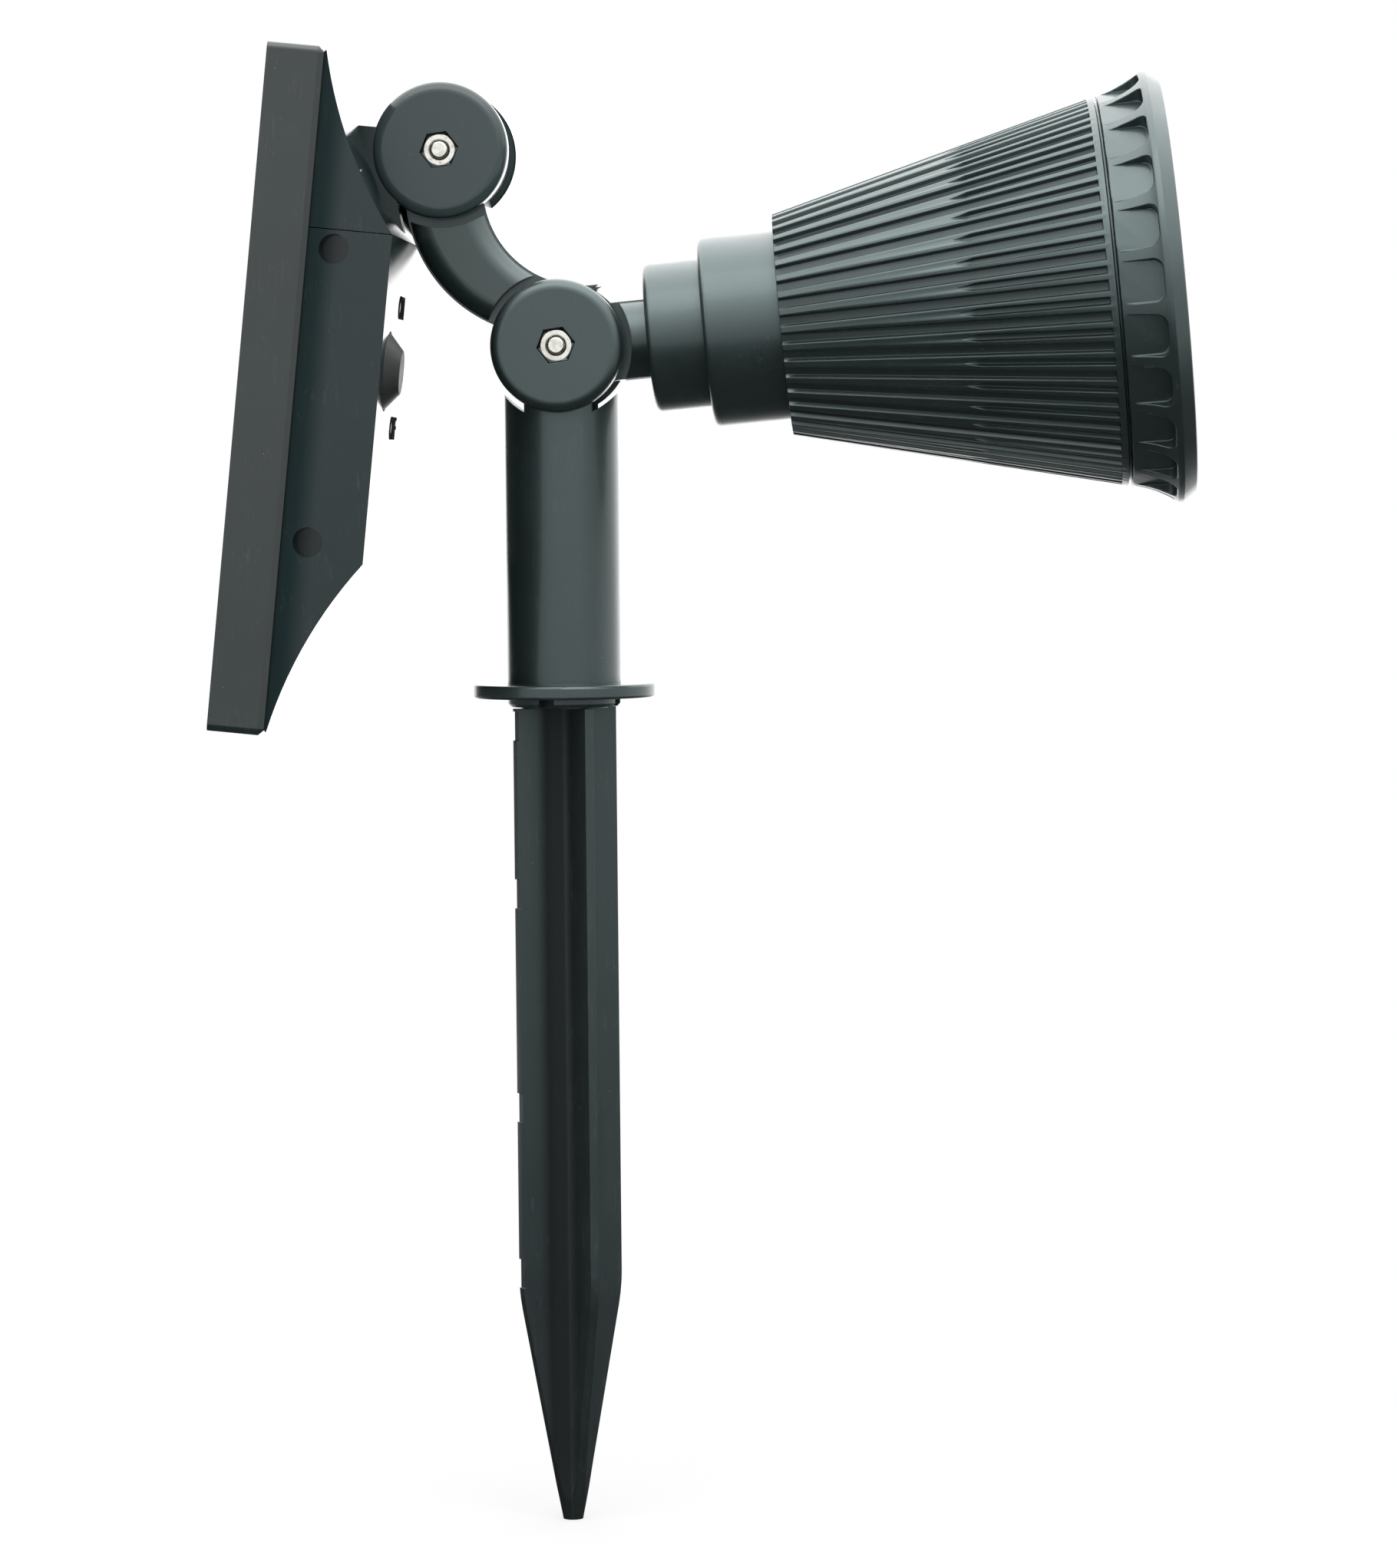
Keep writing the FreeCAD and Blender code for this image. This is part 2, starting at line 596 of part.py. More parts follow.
def column_tube():
    """Column tube with its ground flange, slotted socket collar, saddle and outer ears."""
    body = new_body("column_tube")
    section = new_sketch(body, "XZ_Plane")
    outline(section, [
        ("tube_bore / 2", "-collar_drop"),
        ("tube_diameter / 2 - collar_chamfer", "-collar_drop"),
        ("tube_diameter / 2", "collar_chamfer - collar_drop"),
        ("tube_diameter / 2", "0"),
        ("flange_diameter / 2", "0"),
        ("flange_diameter / 2", "flange_thickness"),
        ("tube_diameter / 2", "flange_thickness"),
        ("tube_diameter / 2", "low_pivot_height"),
        ("0", "low_pivot_height"),
        ("0", "low_pivot_height - low_saddle_radius - socket_cap"),
        ("tube_bore / 2", "low_pivot_height - low_saddle_radius - socket_cap")])
    revolution(body, section, "V_Axis")
    fillet(body, "flange_round", lambda rim: is_circle(rim, value("flange_diameter / 2")))
    between_wings = (FreeCAD.Vector(0, 0, 1), "stake_turn + 180 / collar_slots")
    slot = new_sketch(body, "XY_Plane", "-collar_drop", tilt=between_wings)
    rectangle(slot, "tube_bore / 4", "tube_diameter", "-collar_slot_width / 2", "collar_slot_width / 2")
    around(body, [pocket(body, slot, "collar_drop", turned=True)], "Z_Axis", "collar_slots")
    saddle = new_sketch(body, "XZ_Plane")
    circle(saddle, "0", "low_pivot_height", "low_saddle_radius")
    pocket(body, saddle, "2 * " + EAR_INNER, both=True)
    outer_ears(body, "low_disc_radius", "low_pivot_height")
    cut_bolt_way(body, "low_pivot_height", "low_hex_turn")


# ---------------------------------------------------------------- bolts and nuts

SEAT = "(knuckle_half_width - hex_pocket_depth)"


def hex_piece(body, start, length, turn, turned=False):
    """A hexagonal prism along Y with its corners turned off at both ends."""
    prism = new_sketch(body, "XZ_Plane", start)
    hexagon(prism, "hex_flats", turn)
    pad(body, prism, length, turned=turned)


def trim_corners(body, near_face, far_face):
    """Turn the corners off both ends of a hexagon that lies along Y."""
    cut = new_sketch(body, "XY_Plane")
    reach = "(hex_flats / 2 / cos(30) + hex_corner_trim)"
    flat = "(hex_flats / 2 - hex_corner_trim)"
    drop = "((%s - %s) * tan(30))" % (reach, flat)
    for face, inward in ((near_face, "+"), (far_face, "-")):
        outline(cut, [(flat, face), (reach, face), (reach, "%s %s %s" % (face, inward, drop))])
    groove(body, cut, "V_Axis")


def pivot_bolt(label, place, turn):
    """Hexagon head bolt through a knuckle, its head in the far ear."""
    body = new_body(label)
    hex_piece(body, "-" + SEAT, "bolt_head_thickness", turn, turned=True)
    trim_corners(body, "%s - overshoot" % SEAT, "%s + bolt_head_thickness" % SEAT)
    shank = new_sketch(body, "XZ_Plane", "-" + SEAT)
    circle(shank, "0", "0", "bolt_radius")
    pad(body, shank, "2 * %s + nut_thickness + bolt_stand" % SEAT)
    chamfer(body, "bolt_tip_chamfer", lambda rim: is_circle(rim, value("bolt_radius"))
            and rim.Curve.Center.y < 0)
    place(body)


def pivot_nut(label, place, turn):
    """Hexagon nut in the near ear."""
    body = new_body(label)
    hex_piece(body, SEAT, "nut_thickness", turn)
    trim_corners(body, "-%s - nut_thickness" % SEAT, "-" + SEAT)
    thread = new_sketch(body, "XZ_Plane", SEAT)
    circle(thread, "0", "0", "bolt_radius + thread_clearance")
    pocket(body, thread, "nut_thickness", turned=True)
    chamfer(body, "bolt_tip_chamfer", lambda rim: is_circle(rim, value("bolt_radius + thread_clearance"))
            and near(rim.Curve.Center.y, value("-%s - nut_thickness" % SEAT)))
    place(body)


def on_low_bolt(body):
    """Square on the lower bolt."""
    bind(body, "Placement.Base.z", "low_pivot_height")


# ---------------------------------------------------------------- arm

def bend_across(bend, up, inset="0"):
    """How far across one of the arm's two bends is, at a height in the arm's frame."""
    reach = "(arm_%s_radius + %s)" % (bend, inset)
    return "arm_%s_across - sqrt(%s^2 - (%s - arm_%s_up)^2)" % (bend, reach, up, bend)


def arm_outline(sketch, low, high, wall="0"):
    """The arm's bent strip between two heights, set in by a wall."""
    outline(sketch, [
        (bend_across("outer", high, "-" + wall), high, "left", "arm_outer_radius - " + wall),
        (bend_across("outer", low, "-" + wall), low),
        (bend_across("inner", low, wall), low, "right", "arm_inner_radius + " + wall),
        (bend_across("inner", high, wall), high)])


def arm_half(label, far):
    """One moulded half of the arm, with its knuckle leaves."""
    body = new_body(label)
    strip = new_sketch(body, "XZ_Plane")
    arm_outline(strip, "arm_low_end", "(pivot_span - arm_high_end)")
    pad(body, strip, "arm_half_width", turned=far)
    fillet(body, "arm_edge_round", lambda edge: isinstance(edge.Curve, Part.Circle)
           and near(abs(edge.Curve.Center.y), value("arm_half_width")))
    ends = new_sketch(body, "XZ_Plane")
    circle(ends, "0", "0", "low_saddle_radius")
    circle(ends, "0", "pivot_span", "high_saddle_radius")
    pocket(body, ends, "arm_half_width", turned=not far)
    leaves = new_sketch(body, "XZ_Plane")
    arm_outline(leaves, "arm_low_end", "(pivot_span - arm_high_end)")
    pad(body, leaves, LEAF_OUTER, turned=far)
    for up in ("0", "pivot_span"):
        disc = new_sketch(body, "XZ_Plane")
        circle(disc, "0", up, "tongue_radius")
        pad(body, disc, LEAF_OUTER, turned=far)
    fork = new_sketch(body, "XZ_Plane")
    circle(fork, "0", "0", "low_saddle_radius")
    pocket(body, fork, "head_leaf / 2 + play", turned=not far)
    bores = new_sketch(body, "XZ_Plane")
    circle(bores, "0", "0", BORE_RADIUS)
    circle(bores, "0", "pivot_span", BORE_RADIUS)
    pocket(body, bores, LEAF_OUTER, turned=not far)
    hollow = new_sketch(body, "XZ_Plane")
    arm_outline(hollow, "(low_saddle_radius + arm_wall / 2)",
                "(pivot_span - high_saddle_radius - arm_wall / 2)", "arm_wall")
    pocket(body, hollow, "arm_hollow_depth", turned=not far)
    pegs = new_sketch(body, "XZ_Plane")
    for up in ("(low_saddle_radius + arm_wall)", "(pivot_span - high_saddle_radius - arm_wall)"):
        circle(pegs, bend_across("outer", up, "-arm_wall / 2"), up, "peg_radius" + " + fit_gap" * far)
    if far:
        pocket(body, pegs, "peg_length + fit_gap")
    else:
        pad(body, pegs, "peg_length", turned=True)
    in_arm_frame(body)


# ---------------------------------------------------------------- lamp head

def shell_radius(along, inset="0"):
    """Radius of the ribbed shell's cone at a distance along the lamp axis."""
    rise = "(shell_large_radius - shell_small_radius) / (shell_end - cup_end)"
    return "shell_small_radius + (%s - cup_end) * %s - %s" % (along, rise, inset)


CONE_ANGLE = "atan((shell_large_radius - shell_small_radius) / (shell_end - cup_end))"


def head_neck():
    """Knuckle leaf, neck and two stepped drums behind the ribbed shell."""
    body = new_body("head_neck")
    section = new_sketch(body, "XZ_Plane")
    outline(section, [
        ("low_saddle_radius / 2", "0"),
        ("low_saddle_radius / 2", "neck_radius"),
        ("neck_end", "neck_radius"),
        ("neck_end", "step_radius"),
        ("step_end", "step_radius"),
        ("step_end", "cup_radius"),
        ("cup_end", "cup_radius"),
        ("cup_end", "spigot_radius"),
        ("cup_end + spigot_length", "spigot_radius"),
        ("cup_end + spigot_length", "cup_hollow_radius"),
        ("neck_end + cup_floor", "cup_hollow_radius"),
        ("neck_end + cup_floor", "0")])
    revolution(body, section)
    fillet(body, "step_round", lambda rim: is_circle(rim, value("step_radius"))
           and near(rim.Curve.Center.x, value("neck_end"))
           or is_circle(rim, value("cup_radius")) and near(rim.Curve.Center.x, value("step_end")))
    saddle = new_sketch(body, "XZ_Plane")
    circle(saddle, "0", "0", "low_saddle_radius")
    pocket(body, saddle, "2 * (neck_radius + overshoot)", both=True)
    web = new_sketch(body, "XZ_Plane")
    rectangle(web, "0", "neck_end", "neck_web_inset - neck_radius", "neck_radius - neck_web_inset")
    pad(body, web, "head_leaf", both=True)
    leaf = new_sketch(body, "XZ_Plane")
    circle(leaf, "0", "0", "tongue_radius")
    pad(body, leaf, "head_leaf", both=True)
    bore = new_sketch(body, "XZ_Plane")
    circle(bore, "0", "0", BORE_RADIUS)
    pocket(body, bore, "head_leaf", both=True)
    pilot = new_sketch(body, "YZ_Plane", "cup_end")
    circle(pilot, "0", "shell_screw_circle", "screw_radius + thread_clearance")
    around(body, [pocket(body, pilot, "shell_screw_length")], "X_Axis", "shell_screw_count")
    in_head_frame(body)


def rib_cut(body, kind, along, angle, length, turn="0"):
    """Cut one long or short groove back from a place along the lamp axis.

    angle is its floor's to the lamp axis, and turn is its place round the shell.
    """
    width = kind + "_groove_width"
    bottom = kind + "_groove_floor"
    floor = "%s - rib_groove_depth / cos(%s)" % (shell_radius(along), CONE_ANGLE)
    start = "rotationz(%s) * vector(0; %s; %s)" % (turn, floor, along)
    heading = "rotationz(%s) * rotationx(-%s)" % (turn, angle)
    sketch = flat_sketch(body, "YZ_Plane")
    bind(sketch, "AttachmentOffset", "placement(%s; %s)" % (start, heading))
    outline(sketch, [
        ("-%s / 2" % bottom, "0"),
        ("%s / 2" % bottom, "0"),
        ("%s / 2" % width, "rib_groove_depth"),
        ("%s / 2" % width, "2 * rib_groove_depth"),
        ("-%s / 2" % width, "2 * rib_groove_depth"),
        ("-%s / 2" % width, "rib_groove_depth")])
    return pocket(body, sketch, length)


def ribbed_shell():
    """Conical lamp shell with long grooves and short ones between them."""
    body = new_body("ribbed_shell")
    section = new_sketch(body, "XZ_Plane")
    outline(section, [
        ("cup_end", "shell_small_radius"),
        ("cup_end", "spigot_radius + fit_gap"),
        ("cup_end + shell_floor", "spigot_radius + fit_gap"),
        ("cup_end + shell_floor", shell_radius("(cup_end + shell_floor)", "shell_wall")),
        ("shell_end - bezel_seat_depth", shell_radius("(shell_end - bezel_seat_depth)", "shell_wall")),
        ("shell_end - bezel_seat_depth", "bezel_spigot_radius + fit_gap"),
        ("shell_end", "bezel_spigot_radius + fit_gap"),
        ("shell_end", "shell_large_radius")])
    revolution(body, section)
    hole = new_sketch(body, "YZ_Plane", "cup_end")
    circle(hole, "0", "shell_screw_circle", "screw_radius + screw_clearance")
    around(body, [pocket(body, hole, "shell_floor", turned=True)], "X_Axis", "shell_screw_count")
    front = "(shell_end - rib_band)"
    whole = "(%s - cup_end) / cos(%s) + long_groove_width" % (front, CONE_ANGLE)
    around(body, [rib_cut(body, "long", front, CONE_ANGLE, whole)], "X_Axis", "rib_count")
    half_step = "(180 / rib_count)"
    level = "(%s - short_groove_start) / cos(%s)" % (front, CONE_ANGLE)
    short = rib_cut(body, "short", front, CONE_ANGLE, level, half_step)
    easing = "(%s - atan(rib_groove_depth / short_groove_runout))" % CONE_ANGLE
    tapered = "short_groove_runout * runout_reach"
    runout = rib_cut(body, "short", "short_groove_start", easing, tapered, half_step)
    around(body, [short, runout], "X_Axis", "rib_count")
    in_head_frame(body)


def bezel_ring():
    """Flared front ring with thumb pockets round it."""
    body = new_body("bezel_ring")
    back = "(shell_end + seam_width)"
    section = new_sketch(body, "XZ_Plane")
    outline(section, [
        ("shell_end - bezel_seat_depth + fit_gap", "bezel_spigot_radius - bezel_spigot_wall"),
        ("lens_front", "bezel_spigot_radius - bezel_spigot_wall"),
        ("lens_front", "window_radius"),
        ("lens_front + window_lip", "window_radius"),
        ("bezel_front", "bezel_radius - bezel_chamfer_rise - bezel_face_width"),
        ("bezel_front", "bezel_radius - bezel_chamfer_rise"),
        ("bezel_front - bezel_chamfer_length", "bezel_radius"),
        ("bezel_flare_end", "bezel_radius", "right", "bezel_flare_radius"),
        (back, shell_radius(back)),
        (back, "%s - seam_depth" % shell_radius("shell_end")),
        ("shell_end", "%s - seam_depth" % shell_radius("shell_end")),
        ("shell_end", "bezel_spigot_radius"),
        ("shell_end - bezel_seat_depth + fit_gap", "bezel_spigot_radius")])
    revolution(body, section)
    floor = shell_radius("thumb_start")
    tilt = (FreeCAD.Vector(0, -1, 0), CONE_ANGLE)
    thumb = new_sketch(body, "XY_Plane", floor, tilt=tilt, shift=("thumb_start", "0"))
    length = "((thumb_end - thumb_start) / cos(%s))" % CONE_ANGLE
    half = "thumb_width / 2"
    outline(thumb, [
        ("-overshoot", "-" + half),
        ("%s - thumb_corner" % length, "-" + half, "left", "thumb_corner"),
        (length, "thumb_corner - " + half),
        (length, "%s - thumb_corner" % half, "left", "thumb_corner"),
        ("%s - thumb_corner" % length, half),
        ("-overshoot", half)])
    around(body, [pocket(body, thumb, "bezel_radius - shell_large_radius", turned=True)],
           "X_Axis", "thumb_count")
    in_head_frame(body)


def front_lens():
    """Clear front lens, domed through the bezel opening."""
    body = new_body("front_lens")
    section = new_sketch(body, "XZ_Plane")
    rim = "(window_radius - 2 * fit_gap)"
    outline(section, [
        ("lens_front - lens_thickness", "0"),
        ("lens_front + lens_dome", "0", "left", "(%s^2 + lens_dome^2) / 2 / lens_dome" % rim),
        ("lens_front", rim),
        ("lens_front", "bezel_spigot_radius - bezel_spigot_wall - fit_gap"),
        ("lens_front - lens_thickness", "bezel_spigot_radius - bezel_spigot_wall - fit_gap")])
    revolution(body, section)
    in_head_frame(body)


def lens_gasket():
    """Seal between the lens and the reflector tray."""
    body = new_body("lens_gasket")
    section = new_sketch(body, "XZ_Plane")
    outer = "(bezel_spigot_radius - bezel_spigot_wall - fit_gap)"
    rectangle(section, "lens_front - lens_thickness - gasket_thickness", "lens_front - lens_thickness",
              "%s - gasket_width" % outer, outer)
    revolution(body, section)
    in_head_frame(body)


TRAY_FRONT = "(lens_front - lens_thickness - gasket_thickness)"
TRAY_BACK = "(%s - tray_depth)" % TRAY_FRONT


def reflector_tray():
    """Tray with one reflector cup in the middle and a ring of cups round it."""
    body = new_body("reflector_tray")
    section = new_sketch(body, "XZ_Plane")
    rectangle(section, TRAY_BACK, TRAY_FRONT, "0", "bezel_spigot_radius - bezel_spigot_wall - fit_gap")
    revolution(body, section)
    cup = new_sketch(body, "XZ_Plane")
    half_cup = [
        (TRAY_BACK, "0"),
        (TRAY_BACK, "cup_throat_radius"),
        (TRAY_FRONT, "cup_mouth_radius"),
        (TRAY_FRONT, "0")]
    outline(cup, half_cup)
    groove(body, cup)
    ring_cup = new_sketch(body, "XZ_Plane", shift=("0", "cup_circle_radius"))
    outline(ring_cup, half_cup)
    around(body, [groove(body, ring_cup)], "X_Axis", "cup_count")
    pilot = new_sketch(body, "YZ_Plane", TRAY_BACK)
    circle(pilot, "0", "board_screw_circle", "screw_radius + thread_clearance")
    around(body, [pocket(body, pilot, "board_screw_length", turned=True)], "X_Axis", "cup_count / 2")
    in_head_frame(body)


def light_board():
    """Round circuit board behind the reflector tray."""
    body = new_body("light_board")
    disc = new_sketch(body, "YZ_Plane", TRAY_BACK)
    circle(disc, "0", "0", "board_radius")
    pad(body, disc, "board_thickness", turned=True)
    hole = new_sketch(body, "YZ_Plane", TRAY_BACK)
    circle(hole, "0", "board_screw_circle", "screw_radius + screw_clearance")
    around(body, [pocket(body, hole, "board_thickness")], "X_Axis", "cup_count / 2")
    in_head_frame(body)


def light_emitters():
    """One square emitter at the throat of each reflector cup."""
    body = new_body("light_emitters")
    body.AllowCompound = True
    half = "light_size / 2"
    middle = new_sketch(body, "YZ_Plane", TRAY_BACK)
    rectangle(middle, "-" + half, half, "-" + half, half)
    pad(body, middle, "light_height")
    ring = new_sketch(body, "YZ_Plane", TRAY_BACK)
    rectangle(ring, "-" + half, half, "cup_circle_radius - " + half, "cup_circle_radius + " + half)
    around(body, [pad(body, ring, "light_height")], "X_Axis", "cup_count")
    in_head_frame(body)


def screw_profile(sketch, seat, circle_radius, length, towards):
    """Half section of a small screw along X: its head stands on seat, its shank runs towards -1 or 1."""
    tip = "%s %s (%s)" % (seat, "+" if towards > 0 else "-", length)
    top = "%s %s screw_head_height" % (seat, "-" if towards > 0 else "+")
    outline(sketch, [
        (tip, circle_radius),
        (tip, "%s + screw_radius / 2" % circle_radius),
        ("%s %s screw_radius" % (tip, "-" if towards > 0 else "+"), "%s + screw_radius" % circle_radius),
        (seat, "%s + screw_radius" % circle_radius),
        (seat, "%s + screw_head_radius" % circle_radius),
        (top, "%s + screw_head_radius" % circle_radius),
        (top, circle_radius)])


def screw_ring(label, seat, circle_radius, length, towards, count):
    """Small screws in a ring about the lamp axis."""
    body = new_body(label)
    body.AllowCompound = True
    sketch = new_sketch(body, "XZ_Plane", shift=("0", circle_radius))
    screw_profile(sketch, seat, "0", length, towards)
    around(body, [revolution(body, sketch)], "X_Axis", count)
    in_head_frame(body)


# ---------------------------------------------------------------- solar panel

def back(depth):
    """Place across, in the panel's frame, of a depth behind the front face."""
    return "(%s - pivot_back)" % depth


def down(distance):
    """Place up, in the panel's frame, of a distance down from the top edge."""
    return "(pivot_down - %s)" % distance


SLOPE_RUN = "(slope_length - housing_edge)"
SLOPE_CLIMB = "(panel_depth - frame_depth - slope_step)"
SLOPE_CHORD = "sqrt(%s^2 + %s^2)" % (SLOPE_RUN, SLOPE_CLIMB)
SLOPE_REACH = "sqrt(slope_radius^2 - (%s / 2)^2) / %s" % (SLOPE_CHORD, SLOPE_CHORD)
SLOPE_CENTRE_BACK = "(panel_depth - %s / 2 + %s * %s)" % (SLOPE_CLIMB, SLOPE_RUN, SLOPE_REACH)
SLOPE_CENTRE_DOWN = "(slope_length - %s / 2 - %s * %s)" % (SLOPE_RUN, SLOPE_CLIMB, SLOPE_REACH)


def slope_back(distance, inset="0"):
    """Depth of a slope at a distance from its end of the panel, set in by a wall."""
    reach = "(slope_radius + %s)" % inset
    return "(%s - sqrt(%s^2 - (%s - %s)^2))" % (SLOPE_CENTRE_BACK, reach, distance, SLOPE_CENTRE_DOWN)


def slope_foot(inset):
    """Distance from its end of the panel where a slope set in by a wall meets the flat set in."""
    reach = "(slope_radius + %s)" % inset
    rise = "(%s - panel_depth + %s)" % (SLOPE_CENTRE_BACK, inset)
    return "(%s + sqrt(%s^2 - %s^2))" % (SLOPE_CENTRE_DOWN, reach, rise)


FLAT_BACK = "(panel_length - 2 * slope_length)"
BUTTON_DOWN = "(slope_length + button_share * %s)" % FLAT_BACK
BUTTON_ACROSS = "(panel_width / 2 - button_inset)"
CELL_DOWN = "(slope_length + cell_share * %s)" % FLAT_BACK
LAST_POST = "(panel_length - post_last)"
POSTS = ("post_first", "((post_first + %s) / 2)" % LAST_POST, LAST_POST)
POST_ACROSS = "(panel_width / 2 - post_inset)"


def panel_frame():
    """Shallow tray that holds the solar sheet and carries both housings."""
    body = new_body("panel_frame")
    half = "panel_width / 2"
    block = new_sketch(body, "YZ_Plane", back("0"))
    rectangle(block, "-" + half, half, down("panel_length"), down("0"))
    pad(body, block, "frame_depth")
    fillet(body, "frame_corner", lambda edge: near(edge.Length, value("frame_depth")))
    chamfer(body, "frame_bevel", lambda edge: all(
        near(vertex.X, value(back("frame_depth"))) for vertex in edge.Vertexes))
    hollow = new_sketch(body, "YZ_Plane", back("frame_depth"))
    rectangle(hollow, "frame_wall - " + half, half + " - frame_wall",
              down("(panel_length - frame_wall)"), down("frame_wall"))
    pocket(body, hollow, "frame_depth - sheet_recess - frame_web")
    recess = new_sketch(body, "YZ_Plane", back("0"))
    rectangle(recess, "frame_border - " + half, half + " - frame_border",
              down("(panel_length - frame_border)"), down("frame_border"))
    pocket(body, recess, "sheet_recess", turned=True)
    holes = new_sketch(body, "YZ_Plane", back("sheet_recess"))
    sinks = new_sketch(body, "YZ_Plane", back("sheet_recess"))
    for place in POSTS:
        for across in (POST_ACROSS, "-" + POST_ACROSS):
            circle(holes, across, down(place), "screw_radius + screw_clearance")
            circle(sinks, across, down(place), "screw_head_radius + screw_clearance")
    circle(holes, "0", down("panel_length / 2"), "lead_hole_radius")
    pocket(body, holes, "frame_web", turned=True)
    pocket(body, sinks, "screw_head_height", turned=True)
    in_panel_frame(body)


def solar_sheet():
    """Solar cells under clear resin, flush in the frame."""
    body = new_body("solar_sheet")
    edge = "(panel_width / 2 - frame_border - sheet_gap)"
    sheet = new_sketch(body, "YZ_Plane", back("sheet_sunk"))
    rectangle(sheet, "-" + edge, edge, down("(panel_length - frame_border - sheet_gap)"),
              down("(frame_border + sheet_gap)"))
    pad(body, sheet, "sheet_recess - sheet_sunk")
    in_panel_frame(body)


def screw_posts(body, places, ends):
    """Posts that carry the frame screws, from the frame's plate to the housing's back."""
    start = "(sheet_recess + frame_web)"
    for place, end in zip(places, ends):
        posts = new_sketch(body, "YZ_Plane", back(start))
        holes = new_sketch(body, "YZ_Plane", back(start))
        for across in (POST_ACROSS, "-" + POST_ACROSS):
            circle(posts, across, down(place), "post_radius")
            circle(holes, across, down(place), "screw_radius + thread_clearance")
        pad(body, posts, "%s - %s" % (end, start))
        pocket(body, holes, "frame_screw_length - frame_web + screw_head_height", turned=True)


def housing_width():
    """Width of both housings."""
    return "(panel_width - 2 * housing_inset)"


def panel_bracket():
    """Upper back housing with the ears of the upper knuckle."""
    body = new_body("panel_bracket")
    end = "(slope_length - part_line / 2)"
    shell = new_sketch(body, "XZ_Plane")
    outline(shell, [
        (back("frame_depth"), down("housing_edge")),
        (back("frame_depth"), down(end)),
        (back(slope_back(end)), down(end), "right", "slope_radius"),
        (back(slope_back("housing_edge")), down("housing_edge"))])
    pad(body, shell, housing_width(), both=True)
    hollow = new_sketch(body, "XZ_Plane")
    stop = "(slope_length - part_line / 2 - housing_wall)"
    outline(hollow, [
        (back("(frame_depth - overshoot)"), down("hollow_start")),
        (back("(frame_depth - overshoot)"), down(stop)),
        (back(slope_back(stop, "housing_wall")), down(stop),
         "right", "slope_radius + housing_wall"),
        (back(slope_back("hollow_start", "housing_wall")), down("hollow_start"))])
    pocket(body, hollow, "%s - 2 * housing_wall" % housing_width(), both=True)
    screw_posts(body, POSTS[:1], [slope_back("post_first", "housing_wall / 2")])
    outer_ears(body, "high_disc_radius")
    for side, turned in (("", False), ("-", True)):
        web = new_sketch(body, "XZ_Plane", side + EAR_INNER)
        outline(web, [
            (back(slope_back("web_bottom", "housing_wall / 2")), down("web_bottom"), "right",
             "slope_radius + housing_wall / 2"),
            (back(slope_back("web_top", "housing_wall / 2")), down("web_top")),
            ("web_root - high_disc_radius", down("web_top")),
            (back(slope_back("web_shoulder", "-web_rise")), down("web_shoulder")),
            (back(slope_back("web_bottom")), down("web_bottom"))])
        pad(body, web, "ear_thickness - web_recess", turned=turned)
    cut_bolt_way(body, "0", "high_hex_turn")
    in_panel_frame(body)


def battery_housing():
    """Lower back housing over the cell, the board and the switch."""
    body = new_body("battery_housing")
    start = "(slope_length + part_line / 2)"
    flat_end = "(panel_length - slope_length)"
    end = "(panel_length - housing_edge)"
    shell = new_sketch(body, "XZ_Plane")
    outline(shell, [
        (back("frame_depth"), down(start)),
        (back("frame_depth"), down(end)),
        (back(slope_back("housing_edge")), down(end), "right", "slope_radius"),
        (back("panel_depth"), down(flat_end)),
        (back("panel_depth"), down(start))])
    pad(body, shell, housing_width(), both=True)
    hollow = new_sketch(body, "XZ_Plane")
    begin = "(slope_length + part_line / 2 + housing_wall)"
    bend = "(panel_length - %s)" % slope_foot("housing_wall")
    stop = "(panel_length - hollow_start)"
    outline(hollow, [
        (back("(frame_depth - overshoot)"), down(begin)),
        (back("(frame_depth - overshoot)"), down(stop)),
        (back(slope_back("hollow_start", "housing_wall")), down(stop),
         "right", "slope_radius + housing_wall"),
        (back("(panel_depth - housing_wall)"), down(bend)),
        (back("(panel_depth - housing_wall)"), down(begin))])
    pocket(body, hollow, "%s - 2 * housing_wall" % housing_width(), both=True)
    screw_posts(body, POSTS[1:], [
        "(panel_depth - housing_wall / 2)",
        slope_back("post_last", "housing_wall / 2")])
    side_dimples(body)
    board_posts(body)
    button_hole = new_sketch(body, "YZ_Plane", back("panel_depth"))
    circle(button_hole, "-" + BUTTON_ACROSS, down(BUTTON_DOWN), "button_base_radius + play")
    pocket(body, button_hole, "housing_wall")
    in_panel_frame(body)


def side_dimples(body):
    """Blind round holes in both side walls, each with plastic behind it."""
    outer = "(panel_width / 2 - housing_inset)"
    for side, turned in (("", False), ("-", True)):
        behind = new_sketch(body, "XZ_Plane", "%s(%s - dimple_depth - dimple_wall)" % (side, outer))
        holes = new_sketch(body, "XZ_Plane", side + outer)
        places = ("dimple_top", "(panel_length - dimple_bottom)")
        ceilings = ("(slope_length + housing_wall)", "(%s - dimple_radius - dimple_wall)" % places[1])
        for place, ceiling in zip(places, ceilings):
            rectangle(behind, back("(dimple_back - dimple_radius - dimple_wall)"),
                      back("(dimple_back + dimple_radius + dimple_wall)"),
                      down("(%s + dimple_radius + dimple_wall)" % place), down(ceiling))
            circle(holes, back("dimple_back"), down(place), "dimple_radius")
        pad(body, behind, "dimple_depth + dimple_wall - housing_wall / 2", turned=turned)
        pocket(body, holes, "dimple_depth", turned=turned)


BOARD_BACK = "(panel_depth - housing_wall - play - button_rim_thickness - button_travel - play"
BOARD_BACK += " - switch_plunger_height - switch_height)"


